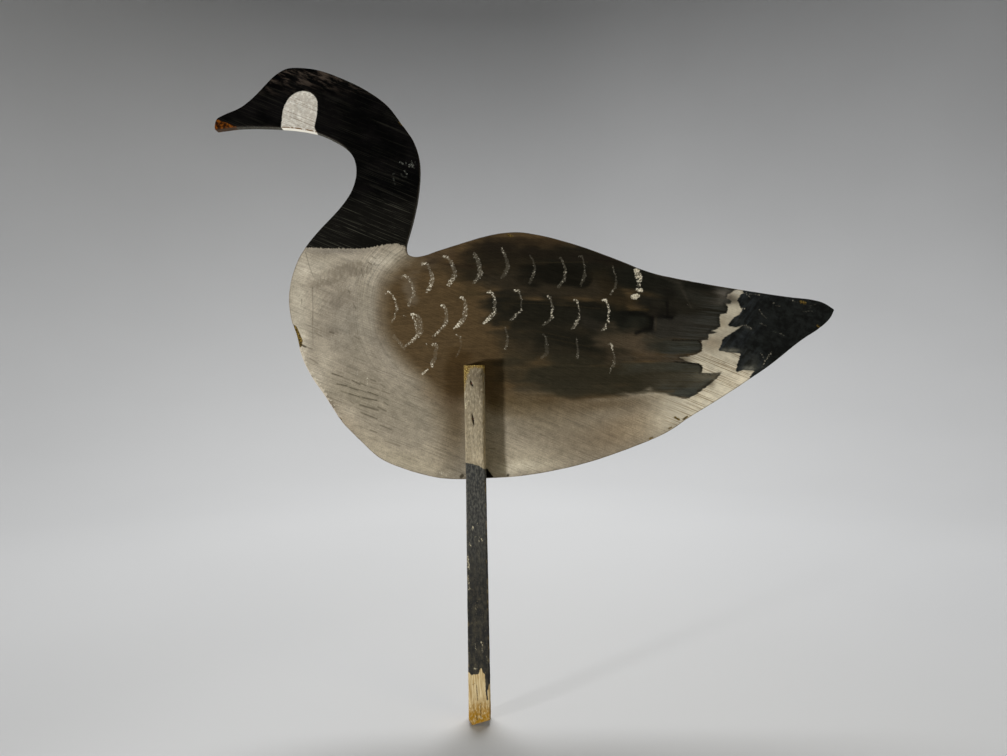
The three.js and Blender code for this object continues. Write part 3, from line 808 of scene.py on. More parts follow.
def coat_colours(places):
    """The broad colours of the painted body and wing at picture places, as sRGB numbers."""
    wing = np.tile(np.array(WING_COLOUR, float), (len(places), 1))
    flow = flow_places(places)
    streaks = 0.6 * (layered_noise(flow[:, 0] / 38, flow[:, 1] / 3.6, 21) - 0.5)
    streaks += 0.9 * (layered_noise(places[:, 0] / 26, places[:, 1] / 17, 27) - 0.5)
    for start, end, half, colour, strength, softness in WING_STROKES:
        away, share = off_line(places, np.array(start, float), np.array(end, float))
        soft = softness + 16 * ease(0.3, 0.0, share)
        depth = half - away + streaks * soft * 1.2
        cover = strength * ease(-0.5, 0.5, depth / soft)
        wing += cover[:, None] * (np.array(colour) - wing)
    cover = wing_cover(places)[:, None]
    return airbrushed(places, BODY_COLOUR, BODY_TONES) * (1 - cover) + wing * cover


def arc_zone(places, wing_depth):
    """Where brush lines run round the front of the wing."""
    beside_wing = ease(-46, -22, wing_depth) * ease(26, 4, wing_depth)
    return beside_wing * ease(*ARC_COLUMNS, places[:, 0]) * (0.45 + 0.55 * ease(*ARC_ROWS, places[:, 1]))


# Meshes

def colour_values(colours):
    """sRGB numbers as the linear colour and alpha that a mesh holds."""
    return np.column_stack([linear(colours), np.ones(len(colours))])


def stroke_values(places, kinds):
    """For each kind of stroke, how deep places lie inside it and how loaded it is there."""
    values = {}
    for kind, lines in kinds.items():
        values[kind + "_depth"], values[kind + "_load"] = stroke_depths(places, lines)
    return values


ATTRIBUTE_KINDS = {1: ("FLOAT", "value"), 3: ("FLOAT_VECTOR", "vector"), 4: ("FLOAT_COLOR", "color")}


def make_piece(name, points, faces, material, attributes):
    """A smooth-shaded mesh piece of the decoy with numbers at its points for the material to read."""
    mesh = bpy.data.meshes.new(name)
    mesh.from_pydata([tuple(p) for p in points], [], faces)
    for attribute, values in attributes.items():
        columns = 1 if values.ndim == 1 else values.shape[1]
        kind, field = ATTRIBUTE_KINDS[columns]
        data = mesh.attributes.new(attribute, kind, "POINT").data
        data.foreach_set(field, np.ascontiguousarray(values, np.float32).ravel())
    mesh.shade_smooth()
    mesh.materials.append(material)
    piece = bpy.data.objects.new(name, mesh)
    bpy.context.scene.collection.objects.link(piece)
    return piece


def standing(flat, depth):
    """Points from their x and z, with this depth along y."""
    return np.stack([flat[:, 0], np.broadcast_to(depth, len(flat)), flat[:, 1]], axis=1)


def band(first, second):
    """Quads between two closed rows of points, each row given as the points' numbers."""
    rows = zip(first, second, np.roll(second, -1), np.roll(first, -1))
    return [tuple(quad) for quad in rows]


def search_tree(ring):
    tree = KDTree(len(ring))
    for k, (x, z) in enumerate(ring):
        tree.insert((x, z, 0), k)
    tree.balance()
    return tree


def frame_corners():
    """The corners of the board's outline in the frame, as x and z, anticlockwise in the picture."""
    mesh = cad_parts["goose_board"].data
    points = np.array([v.co for v in mesh.vertices])
    level = np.unique(np.round(points[:, 1], 5))[1]
    on_level = np.abs(points[:, 1] - level) < 1e-5
    keys = {}
    ids = [keys.setdefault(tuple(np.round(p, 6)), len(keys)) for p in points]
    links = {}
    for edge in mesh.edges:
        a, b = edge.vertices
        if on_level[a] and on_level[b]:
            links.setdefault(ids[a], set()).add(ids[b])
            links.setdefault(ids[b], set()).add(ids[a])
    loop = [min(links)]
    previous = None
    while True:
        onward = sorted(n for n in links[loop[-1]] if n != previous)
        previous = loop[-1]
        if onward[0] == loop[0]:
            break
        loop.append(onward[0])
    corners = np.array(list(keys))[loop][:, [0, 2]]
    x, z = corners.T
    return corners[::-1] if np.sum(x * np.roll(z, -1) - np.roll(x, -1) * z) < 0 else corners


def board_outline():
    """The goose's outline as x and z of points a step apart, going round once, with the
    direction out of the board, the way travelled and how sharp the corner is."""
    corners = frame_corners()
    closed = np.vstack([corners, corners[:1]])
    travelled = np.r_[0, np.cumsum(np.linalg.norm(np.diff(closed, axis=0), axis=1))]
    at = np.linspace(0, travelled[-1], round(travelled[-1] / BOARD_STEP), endpoint=False)
    ring = np.stack([np.interp(at, travelled, closed[:, k]) for k in range(2)], axis=1)
    arriving = ring - np.roll(ring, 3, 0)
    leaving = np.roll(ring, -3, 0) - ring
    turn = np.abs(arriving[:, 0] * leaving[:, 1] - arriving[:, 1] * leaving[:, 0])
    turn /= np.linalg.norm(arriving, axis=1) * np.linalg.norm(leaving, axis=1)
    sharp = ease(0.5, 0.8, turn)
    smoothings = 5
    for _ in range(smoothings):
        softer = ring / 2 + (np.roll(ring, 1, 0) + np.roll(ring, -1, 0)) / 4
        ring = softer + (ring - softer) * sharp[:, None]
    along = np.roll(ring, -1, 0) - np.roll(ring, 1, 0)
    out = np.stack([along[:, 1], -along[:, 0]], 1) / np.linalg.norm(along, axis=1)[:, None]
    return ring, out, at, sharp


def fill_outline(ring, out, step, needs_detail=None):
    """Points of a lattice inside a ring, closer together where they need detail, and the
    triangles of ring and lattice together."""
    tree = search_tree(ring)
    low, high = ring.min(0), ring.max(0)
    fine = step / 2 if needs_detail else step
    columns = np.arange(low[0], high[0], fine)
    rows = np.arange(low[1], high[1], fine)
    column, row = np.meshgrid(np.arange(len(columns)), np.arange(len(rows)), indexing="ij")
    shift = (row // 2 % 2 if needs_detail else row % 2) * step / 2
    lattice = np.stack([columns[column] + shift, rows[row]], axis=2).reshape(-1, 2)
    if needs_detail:
        coarse = (column % 2 == 0) & (row % 2 == 0)
        lattice = lattice[coarse.ravel() | needs_detail(lattice)]
    kept = []
    for x, z in lattice:
        _, k, distance = tree.find((x, z, 0))
        deep = (ring[k, 0] - x) * out[k, 0] + (ring[k, 1] - z) * out[k, 1]
        if deep > 0 and distance > 0.6 * fine:
            kept.append((x, z))
    count = len(ring)
    edges = [(k, (k + 1) % count) for k in range(count)]
    made = delaunay_2d_cdt([Vector(p) for p in [*ring, *kept]], edges, [], 1, 1e-8)
    used = np.unique([k for face in made[2] for k in face])
    place = {old: new for new, old in enumerate(used)}
    return np.array(made[0])[used], [tuple(place[k] for k in face) for face in made[2]]


BOARD_STROKES = {
    "light": FEATHER_DABS + plain_strokes(LIGHT_SCRATCHES),
    "dark": plain_strokes(DARK_STROKES),
    "bare": plain_strokes(BARE_SPOTS),
    "smudge": SMUDGES,
}
BOARD_SHAPES = {
    "neck": NECK_PICTURE,
    "cheek": smooth_path(CHEEK_PICTURE, 3),
    "tail": TAIL_PICTURE,
    "rump": RUMP_PICTURE,
    "bill_wood": BILL_WOOD_PICTURE,
}


def on_picture(flat):
    """Where places on the painted face, given as x and z, show in the picture."""
    return picture_places(standing(flat, BOARD_LOW.y), BOARD_LOW.y)


def needs_detail(flat):
    """Near the edges of painted shapes and on thin strokes."""
    places = on_picture(flat)
    near = np.zeros(len(flat), bool)
    for shape in BOARD_SHAPES.values():
        near |= np.abs(depth_inside(places, shape)) < 3
    for kind in ("light", "dark", "bare"):
        near |= stroke_depths(places, BOARD_STROKES[kind])[0] > -1.6
    return near


def board_wall(ring, out, at, arris):
    """Rings of points from the face to the back: the arris, the sawn plies and the back's arris."""
    face, back = BOARD_LOW.y, BOARD_HIGH.y
    thickness = back - face
    walls = []
    for share, down in ARRIS_ROUNDING:
        walls.append(standing(ring - out * (share * arris)[:, None], face + down * arris))
    for row in range(1, WALL_ROWS):
        depth = face + arris + row / WALL_ROWS * (thickness - arris - ARRIS)
        level = (depth - face) / thickness * PLY_COUNT
        seam = np.exp(-((level - np.round(level)) * thickness / PLY_COUNT / SEAM_WIDTH) ** 2)
        seam *= (np.round(level) > 0.5) * (np.round(level) < PLY_COUNT - 0.5)
        rough = layered_noise(at / (1.6 * MM), level * 1.7, 41, 2) - 0.5
        dent = PLY_RELIEF * seam * layered_noise(at / (12 * MM), level, 43) + SAW_RELIEF * 2 * rough
        walls.append(standing(ring - out * dent[:, None], depth))
    for share, down in ARRIS_ROUNDING[::-1]:
        walls.append(standing(ring - out * share * ARRIS, back - down * ARRIS))
    return walls


def build_board(material):
    ring, out, at, sharp = board_outline()
    wobble = OUTLINE_WOBBLE * (layered_noise(at / (9 * MM), at * 0, 31) - 0.5)
    bitten, bite_load = stroke_depths(on_picture(ring), BOARD_STROKES["bare"])
    ring = ring + out * (wobble - ease(-1.5, 0.5, bitten) * bite_load * BITE_DEPTH)[:, None]
    arris = ARRIS * (0.8 + 0.9 * layered_noise(at / (14 * MM), at * 0, 33)) * (1 - 0.5 * sharp)

    # The painted face, the wall ring by ring, and the back
    front, faces = fill_outline(ring - out * arris[:, None], out, FACE_STEP, needs_detail)
    rear, rear_faces = fill_outline(ring - out * ARRIS, out, BACK_STEP)
    walls = board_wall(ring, out, at, arris)
    points = np.vstack([standing(front, BOARD_LOW.y), *walls, standing(rear, BOARD_HIGH.y)])
    count = len(ring)
    rear_start = len(points) - len(rear)
    starts = [0, *[len(front) + k * count for k in range(len(walls))], rear_start]
    for first, second in zip(starts, starts[1:]):
        faces += band(np.arange(count) + first, np.arange(count) + second)
    faces += [tuple(rear_start + k for k in corners[::-1]) for corners in rear_faces]

    # Relief of the face: raised grain, and dents where the paint is off
    places = picture_places(points, BOARD_LOW.y)
    grain = grain_places(places)
    depth = (points[:, 1] - BOARD_LOW.y) / MM
    is_front = np.arange(len(points)) < len(front)
    is_back = np.arange(len(points)) >= rear_start
    strokes = stroke_values(places, BOARD_STROKES)
    relief = GRAIN_RELIEF * 2 * (layered_noise(grain[:, 0] / 45, grain[:, 1] / 6, 51, 2) - 0.5)
    relief -= CHIP_DEPTH * ease(-0.8, 0.6, strokes["bare_depth"]) * strokes["bare_load"]
    points[is_front, 1] -= relief[is_front]
    points[is_back, 1] += relief[is_back] * BACK_RELIEF_SHARE

    # What the paint reads
    wing_depth = depth_inside(places, WING_PICTURE)
    from_patch = (places - SCRUBBED_MIDDLE) / SCRUBBED_REACH
    around = np.arctan2(places[:, 1] - ARC_CENTRE[1], ARC_CENTRE[0] - places[:, 0]) * ARC_STRETCH
    tree = search_tree(ring)
    rim = np.array([tree.find((x, z, 0))[2] for x, _, z in points]) / MM
    attributes = {
        "picture": np.column_stack([places, depth]),
        "grain": np.column_stack([grain, depth]),
        "arc": np.column_stack([around, wing_depth, depth]),
        "arc_zone": arc_zone(places, wing_depth),
        "combed": 1 - 0.85 * np.exp(-(from_patch**2).sum(1)),
        "flow": np.column_stack([flow_places(places), depth]),
        "hatch": np.column_stack([turned(places, HATCH_TURN), depth]),
        "coat": colour_values(coat_colours(places)),
        "rump_coat": colour_values(airbrushed(places, RUMP_COLOUR, RUMP_TONES)),
        "tail_coat": colour_values(airbrushed(places, TAIL_COLOUR, TAIL_TONES)),
        "front": is_front.astype(float),
        "wing": wing_cover(places),
        "rim": np.where(is_front | is_back, rim, 0.0),
        **{name: depth_inside(places, shape) for name, shape in BOARD_SHAPES.items()},
        **strokes,
    }
    board = make_piece("painted_goose_board", points, faces, material, attributes)
    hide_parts("goose_board")
    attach(board, "root")


def stake_heights():
    """Heights of the rings of points along the stake, closer together where the nails are."""
    height = STAKE_LOW.z
    heights = [height]
    nails = [(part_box(name)[0].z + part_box(name)[1].z) / 2 for name, _, _ in PITS]
    while height < STAKE_HIGH.z:
        near_nail = any(abs(height - nail) < NAIL_ZONE for nail in nails)
        height += STAKE_STEP / 2 if near_nail else STAKE_STEP
        heights.append(min(height, STAKE_HIGH.z))
    return np.array(heights)


def torn_pits(x, z, rough):
    """How deep the pits over the nails are, as a share, at places on the stake's face."""
    deep = 0
    for name, half_length, turn in PITS:
        low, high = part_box(name)
        off_x, off_z = x - (low.x + high.x) / 2, z - (low.z + high.z) / 2
        angle = math.radians(turn)
        along = off_z * math.cos(angle) - off_x * math.sin(angle)
        across = off_z * math.sin(angle) + off_x * math.cos(angle)
        round_off = np.hypot(along / half_length, across / PIT_HALF_WIDTH)
        deep = deep + ease(1.12, 0.72, round_off + 0.25 * rough)
    return deep


def end_grain(rim, numbers, middle, is_foot, first_number):
    """Rings of points from the stake's rim to its middle, and their faces."""
    rings, faces = [], []
    for share in END_RINGS:
        ring = rim.copy()
        ring[:, :2] = middle + (rim[:, :2] - middle) * share
        bumps = layered_noise(ring[:, 0] / (0.9 * MM), ring[:, 1] / (2.2 * MM), 85) - 0.5
        if is_foot:
            level = np.interp(ring[:, 0], FOOT_ACROSS, FOOT_END_HEIGHTS)
            ring[:, 2] = level + 0.4 * MM * bumps + 0.3 * MM
        else:
            ring[:, 2] = STAKE_HIGH.z - 0.7 * MM + 0.7 * MM * bumps
        rings.append(ring)
        current = np.arange(len(rim)) + first_number
        first_number += len(rim)
        faces += band(numbers, current)
        numbers = current
    rings.append(np.array([[*middle, ring[:, 2].mean()]]))
    faces += [(a, first_number, b) for a, b in zip(numbers, np.roll(numbers, -1))]
    return rings, [face[::-1] for face in faces] if is_foot else faces


def build_stake(material):
    heights = stake_heights()
    middle = np.array([(STAKE_LOW.x + STAKE_HIGH.x) / 2, (STAKE_LOW.y + STAKE_HIGH.y) / 2])
    depth = (STAKE_HIGH.y - STAKE_LOW.y) / 2
    front = np.linspace(-1, 1, STAKE_FACE_PARTS, endpoint=False)
    side = np.linspace(-1, 1, STAKE_SIDE_PARTS, endpoint=False)
    square = np.array(
        [(s, -1) for s in front] + [(1, s) for s in side] + [(-s, 1) for s in side] + [(-1, -s) for s in side]
    )
    square_x, square_y = square.T
    on_front, on_back = np.isclose(square_y, -1), np.isclose(square_y, 1)
    on_side = np.isclose(np.abs(square_x), 1)
    shape = (len(heights), len(square))
    z = np.broadcast_to(heights[:, None], shape)
    width = np.interp(heights, STAKE_HEIGHTS, STAKE_HALF_WIDTHS)[:, None]
    x = square_x * width
    y = np.broadcast_to(square_y * depth, shape)

    # Worn arrises and rough faces
    corner = np.sign(square_x + 1e-6) + 3 * np.sign(square_y + 1e-6)
    front_right = -2
    wear = layered_noise(z / (13 * MM), corner * 7.3 + z * 0, 61)
    chip = ease(0.62, 0.85, layered_noise(z / (4.5 * MM), corner * 3.1 + z * 0, 63))
    eased = (0.7 + 1.3 * wear + 1.8 * chip) * MM
    eased = eased + RUBBED_ARRIS * np.isclose(corner, front_right) * ease(RUBBED_START, RUBBED_FULL, z)
    from_arris = np.maximum((1 - np.abs(square_x)) * width, (1 - np.abs(square_y)) * depth)
    inset = 0.32 * eased * np.clip(1 - from_arris / eased, 0, 1) ** 2
    around = np.cumsum(np.r_[0, np.linalg.norm(np.diff(square, axis=0), axis=1)]) * 10  # mm
    around = np.broadcast_to(around, shape)
    rough = layered_noise(around / 1.3, z / (9 * MM), 71) - 0.5
    lumps = layered_noise(around / 2.6, z / (4 * MM), 75, 2) - 0.5
    painted = ease(THICK_PAINT_START, THICK_PAINT_START + 8 * MM, z)
    relief = (0.16 + 0.10 * painted) * MM * 2 * rough + 0.14 * MM * 2 * lumps * painted
    relief = np.where(on_back, np.minimum(relief, 0), relief)
    y = y + np.sign(square_y) * (np.where(on_front | on_back, relief, 0) - inset)
    x = x + np.sign(square_x) * np.where(on_side, relief, 0) - np.sign(x) * inset
    y = y + torn_pits(x, z, rough) * on_front * PIT_DEPTH

    # The foot is cut aslant and has lost a corner, the top is frayed
    foot = np.interp(x, FOOT_ACROSS, FOOT_HEIGHTS) + 0.5 * MM * layered_noise(around / 1.1, around * 0, 81)
    top = -FRAYED_TOP * layered_noise(around / 0.7, around * 0, 83)
    z = z + foot * ease(FOOT_REACH, 0, z) + top * ease(STAKE_HIGH.z - 4 * MM, STAKE_HIGH.z, z)

    # The sleeve of the four faces, then the end grain of the foot and the top
    sleeve = np.stack([x + middle[0], y + middle[1], z], 2)
    numbers = np.arange(z.size).reshape(shape)
    faces = []
    for lower, upper in zip(numbers, numbers[1:]):
        faces += [(a, d, c, b) for a, b, c, d in band(lower, upper)]
    rings = [sleeve.reshape(-1, 3)]
    for row, is_foot in ((0, True), (-1, False)):
        first_number = sum(len(ring) for ring in rings)
        end_rings, end_faces = end_grain(sleeve[row], numbers[row], middle, is_foot, first_number)
        rings += end_rings
        faces += end_faces
    points = np.vstack(rings)

    # What the paint reads
    def with_ends(values, at_ends):
        """Values on the sleeve, and one value at all points of the ends."""
        return np.r_[np.broadcast_to(values, shape).ravel(), np.full(len(points) - z.size, float(at_ends))]

    places = picture_places(points, STAKE_LOW.y)
    depth_mm = (points[:, 1] - STAKE_LOW.y) / MM
    attributes = {
        "picture": np.column_stack([places, depth_mm]),
        "grain": np.column_stack([with_ends(around, 0), places[:, 1], depth_mm * 0]),
        "coat": colour_values(airbrushed(places, STAKE_COLOUR, STAKE_TONES)),
        "charcoal": depth_inside(places, CHARCOAL_PICTURE),
        "frayed": depth_inside(places, FRAYED_PICTURE),
        "front": with_ends(on_front, 0),
        "ends": with_ends(0.0, 1),
        "rim": with_ends(from_arris / MM, 5),
        **stroke_values(places, {"light": plain_strokes(STAKE_LIGHT_MARKS), "dark": STAKE_DARK_MARKS}),
    }
    stake = make_piece("worn_ground_stake", points, faces, material, attributes)
    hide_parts("ground_stake")
    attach(stake, "root")


# Materials

class Nodes:
    """Adds nodes to a new material's tree, one call for each."""

    def __init__(self, name):
        self.material = bpy.data.materials.new(name)
        self.material.use_nodes = True
        self.tree = self.material.node_tree
        self.shader = self.tree.nodes["Principled BSDF"]

    def put(self, socket, value):
        if isinstance(value, bpy.types.NodeSocket):
            self.tree.links.new(value, socket)
        else:
            socket.default_value = value

    def math(self, operation, a, b=0.0, clamp=False):
        node = self.tree.nodes.new("ShaderNodeMath")
        node.operation = operation
        node.use_clamp = clamp
        self.put(node.inputs[0], a)
        self.put(node.inputs[1], b)
        return node.outputs[0]

    def plus(self, a, b):
        return self.math("ADD", a, b)

    def times(self, *factors):
        product = factors[0]
        for factor in factors[1:]:
            product = self.math("MULTIPLY", product, factor)
        return product

    def map(self, value, kind, limits):
        node = self.tree.nodes.new("ShaderNodeMapRange")
        node.interpolation_type = kind
        self.put(node.inputs["Value"], value)
        for name, limit in limits.items():
            node.inputs[name].default_value = limit
        return node.outputs[0]

    def ease(self, low, high, value):
        """Rises smoothly from 0 at low to 1 at high."""
        return self.map(value, "SMOOTHSTEP", {"From Min": low, "From Max": high})

    def spread(self, value, low, high):
        """Maps 0 to 1 onto low to high."""
        return self.map(value, "LINEAR", {"To Min": low, "To Max": high})

    def swing(self, *patterns):
        """Pairs of a pattern around 0.5 and its amount, as one factor around 1."""
        factors = [self.spread(pattern, 1 - amount / 2, 1 + amount / 2) for pattern, amount in patterns]
        return self.times(*factors)

    def mix(self, factor, a, b):
        node = self.tree.nodes.new("ShaderNodeMix")
        node.data_type = "RGBA"
        self.put(node.inputs["Factor"], factor)
        for socket, colour in ((node.inputs[6], a), (node.inputs[7], b)):
            self.put(socket, rgba(colour) if isinstance(colour, tuple) else colour)
        return node.outputs[2]

    def cover(self, colour, tone, *amounts):
        """A colour with a tone over it, as dense as the amounts multiplied."""
        return self.mix(self.times(*amounts), colour, tone)

    def scale(self, colour, factor):
        node = self.tree.nodes.new("ShaderNodeVectorMath")
        node.operation = "SCALE"
        self.put(node.inputs[0], colour)
        self.put(node.inputs["Scale"], factor)
        return node.outputs[0]

    def read(self, name, output="Fac"):
        node = self.tree.nodes.new("ShaderNodeAttribute")
        node.attribute_name = name
        return node.outputs[output]

    def part(self, vector, axis):
        node = self.tree.nodes.new("ShaderNodeSeparateXYZ")
        self.put(node.inputs[0], vector)
        return node.outputs[axis]

    def in_object(self):
        return self.tree.nodes.new("ShaderNodeTexCoord").outputs["Object"]

    def noise(self, place, cells, detail=2.0, roughness=0.5, shift=0.0):
        """Noise from 0 to 1. Cells are how many go into one unit of the place, along each axis."""
        node = self.tree.nodes.new("ShaderNodeMapping")
        self.put(node.inputs["Vector"], place)
        node.inputs["Scale"].default_value = cells if isinstance(cells, tuple) else (cells, cells, cells)
        node.inputs["Location"].default_value = (shift, shift, shift)
        pattern = self.tree.nodes.new("ShaderNodeTexNoise")
        self.tree.links.new(node.outputs[0], pattern.inputs["Vector"])
        pattern.inputs["Scale"].default_value = 1.0
        pattern.inputs["Detail"].default_value = detail
        pattern.inputs["Roughness"].default_value = roughness
        return pattern.outputs[0]

    def patterns(self, table):
        """The noises of a table, by name."""
        return SimpleNamespace(**{
            name: self.noise(self.read(follows, "Vector"), *settings)
            for name, (follows, *settings) in table.items()
        })

    def edge_of(self, name, softness, pattern, reach):
        """1 where a painted shape covers. Its edge wanders by a pattern, this far in pixels."""
        inside = self.plus(self.read(name), self.spread(pattern, -reach, reach))
        return self.ease(-softness, softness, inside)

    def stroke_cover(self, name, softness, breaks):
        """Opacity of dry brush strokes: a thin veil, with solid specks where there is more load."""
        inside = self.plus(self.read(name + "_depth"), self.spread(breaks, -1.9, 1.3))
        cover = self.ease(-softness, softness, inside)
        load = self.read(name + "_load")
        missing = self.math("SUBTRACT", self.spread(load, 0.82, 0.44), breaks)
        specks = self.times(self.ease(0.07, -0.07, missing), 0.75)
        return self.math("MULTIPLY", cover, self.plus(specks, self.times(load, 0.16)), clamp=True)

    def stroke_tone(self, name, softness, breaks):
        """1 on brushed or scratched lines. A stroke with little load covers thinly."""
        return self.times(self.edge_of(name + "_depth", softness, breaks, 0.8), self.read(name + "_load"))

    def finish(self, colour, roughness, height, distance):
        bump = self.tree.nodes.new("ShaderNodeBump")
        bump.inputs["Distance"].default_value = distance
        self.put(bump.inputs["Height"], height)
        self.put(self.shader.inputs["Base Color"], colour)
        self.put(self.shader.inputs["Roughness"], roughness)
        self.put(self.shader.inputs["Normal"], bump.outputs[0])
        return self.material


# Noises in the paint: the attribute that they follow, cells, detail, roughness, shift
BOARD_PATTERNS = {
    "lines": ("grain", (0.016, 0.62, 0.4), 2, 0.55, 0),
    "fine_lines": ("grain", (0.035, 1.3, 0.4), 2, 0.6, 7),
    "scrapes": ("grain", (0.013, 1.2, 0.4), 2, 0.6, 53),
    "scuffs": ("grain", (0.05, 0.2, 0.4), 4, 0.65, 29),
    "bristles": ("flow", (0.022, 0.55, 0.4), 3, 0.6, 3),
    "arcs": ("arc", (0.012, 0.62, 0.4), 2, 0.6, 5),
    "hatch": ("hatch", (0.08, 0.5, 0.4), 3, 0.6, 31),
    "brushed": ("hatch", (0.05, 0.24, 0.4), 3, 0.6, 47),
    "blotches": ("picture", 0.035, 3, 0.6, 0),
    "mottle": ("picture", 0.16, 5, 0.66, 3.68),
    "specks": ("picture", 0.72, 2, 0.6, 7.92),
    "flecks": ("picture", 0.62, 3, 0.75, 37.82),
    "ragged": ("picture", 0.3, 3, 0.6, 5.7),
    "teeth": ("picture", (0.09, 0.5, 0.4), 3, 0.6, 37),
    "upright_teeth": ("picture", (0.45, 0.10, 0.4), 3, 0.6, 41),
}
STAKE_PATTERNS = {
    "ragged": ("picture", (0.6, 0.3, 0.6), 3, 0.6, 1.8),
    "specks": ("grain", (1.1, 0.5, 1), 2, 0.6, 9),
    "bumps": ("grain", (0.55, 0.26, 1), 3, 0.55, 17),
    "streaks": ("grain", (0.9, 0.05, 1), 3, 0.6, 5),
    "blotches": ("grain", (0.22, 0.11, 1), 3, 0.6, 13),
}


def body_paint(nodes, p):
    """Mottled, with brush lines along the grain and along the edge of the wing."""
    combed = nodes.read("combed")
    groove_shown = nodes.times(nodes.spread(nodes.ease(0.36, 0.60, p.blotches), 0.25, 1.0), combed)
    groove = nodes.times(nodes.ease(0.50, 0.38, p.lines), groove_shown)
    mottled = nodes.swing((p.mottle, 0.85), (p.specks, 0.75), (p.fine_lines, 0.85), (p.scuffs, 0.5))
    tone = nodes.times(mottled, nodes.spread(groove, 1.0, 0.80))
    hatched = nodes.times(nodes.spread(p.hatch, 0.45, -0.45), nodes.math("SUBTRACT", 1.0, combed))
    arcs = nodes.times(nodes.read("arc_zone"), nodes.spread(p.arcs, 0.75, -0.75))
    tone = nodes.plus(nodes.plus(tone, hatched), arcs)
    rubbed = nodes.plus(nodes.read("smudge_depth"), nodes.spread(p.upright_teeth, -6.0, 5.0))
    return nodes.cover(
        nodes.scale(nodes.read("coat", "Color"), tone),
        SMUDGE,
        nodes.ease(-1.2, 1.6, rubbed),
        nodes.read("smudge_load"),
        nodes.spread(nodes.ease(0.36, 0.60, p.upright_teeth), 0.35, 1.0),
        nodes.spread(p.specks, 0.2, 1.3),
    )


def wing_paint(nodes, p, colour):
    """Brushed along its length, with haze and dark stroke ends next to the rump band."""
    tone = nodes.swing((p.bristles, 0.8), (p.mottle, 0.7), (p.fine_lines, 1.0), (p.specks, 0.4))
    colour = nodes.mix(nodes.read("wing"), colour, nodes.scale(nodes.read("coat", "Color"), tone))
    rump = nodes.read("rump")
    haze = nodes.times(nodes.ease(-30, -8, rump), nodes.ease(*HAZE_COLUMNS, p.across))
    colour = nodes.cover(colour, WING_HAZE, haze, nodes.ease(0.42, 0.62, p.bristles), 0.38)
    ends = nodes.times(nodes.ease(-4.5, -1.0, rump), nodes.ease(*STROKE_END_COLUMNS, p.across))
    return nodes.cover(colour, WING_STROKE_ENDS, ends, nodes.ease(0.36, 0.56, p.mottle), 0.6)


def rump_paint(nodes, p, colour):
    """The pale band, scraped and paler low down, which fades out under the wing."""
    scraped = nodes.times(nodes.ease(0.48, 0.38, p.scrapes), nodes.ease(*RUMP_SCRAPED_ROWS, p.down))
    tone = nodes.cover(nodes.read("rump_coat", "Color"), RUMP_SCRAPED, scraped)
    tone = nodes.mix(nodes.ease(*RUMP_PALE_ROWS, p.down), tone, nodes.scale(tone, 1.6))
    tone = nodes.scale(tone, nodes.swing((p.mottle, 0.9), (p.fine_lines, 0.6)))
    below = nodes.ease(*RUMP_END_ROWS, p.down)
    behind = nodes.ease(*RUMP_END_COLUMNS, p.across)
    inside = nodes.edge_of("rump", 0.7, p.teeth, 1.8)
    return nodes.cover(colour, tone, inside, nodes.math("MAXIMUM", below, behind))


def tail_paint(nodes, p, colour):
    """Black, with a bluish sheen near its brushed edge."""
    tone = nodes.scale(nodes.read("tail_coat", "Color"), nodes.spread(nodes.ease(0.38, 0.60, p.mottle), 1, 2.1))
    sheen = nodes.times(nodes.ease(26, 2, nodes.read("tail")), nodes.ease(0.40, 0.72, p.brushed))
    tone = nodes.cover(tone, TAIL_SHEEN, sheen, 0.75)
    return nodes.mix(p.tail, colour, nodes.scale(tone, nodes.swing((p.scuffs, 1.6))))


def neck_paint(nodes, p, colour):
    """Black, brown along the brow and scraped along the grain low down, and the pale cheek."""
    low_neck = nodes.ease(*LOW_NECK_ROWS, p.down)
    tone = nodes.mix(nodes.ease(0.40, 0.66, p.blotches), *NECK_BLACKS)
    tone = nodes.cover(tone, LOW_NECK, low_neck, 0.5)
    tone = nodes.cover(tone, BROW, nodes.ease(*BROW_ROWS, p.down), nodes.ease(0.48, 0.66, p.scuffs))
    scraped = nodes.times(nodes.ease(0.53, 0.66, p.scrapes), nodes.spread(low_neck, 0.25, 1.0))
    tone = nodes.cover(tone, NECK_SCRAPED, scraped, nodes.ease(0.36, 0.52, p.scuffs))
    colour = nodes.mix(p.neck, colour, tone)
    tone = nodes.mix(nodes.ease(0.46, 0.34, p.scrapes), *CHEEK_WHITES)
    return nodes.mix(p.cheek, colour, nodes.scale(tone, nodes.swing((p.mottle, 0.9), (p.specks, 0.5))))


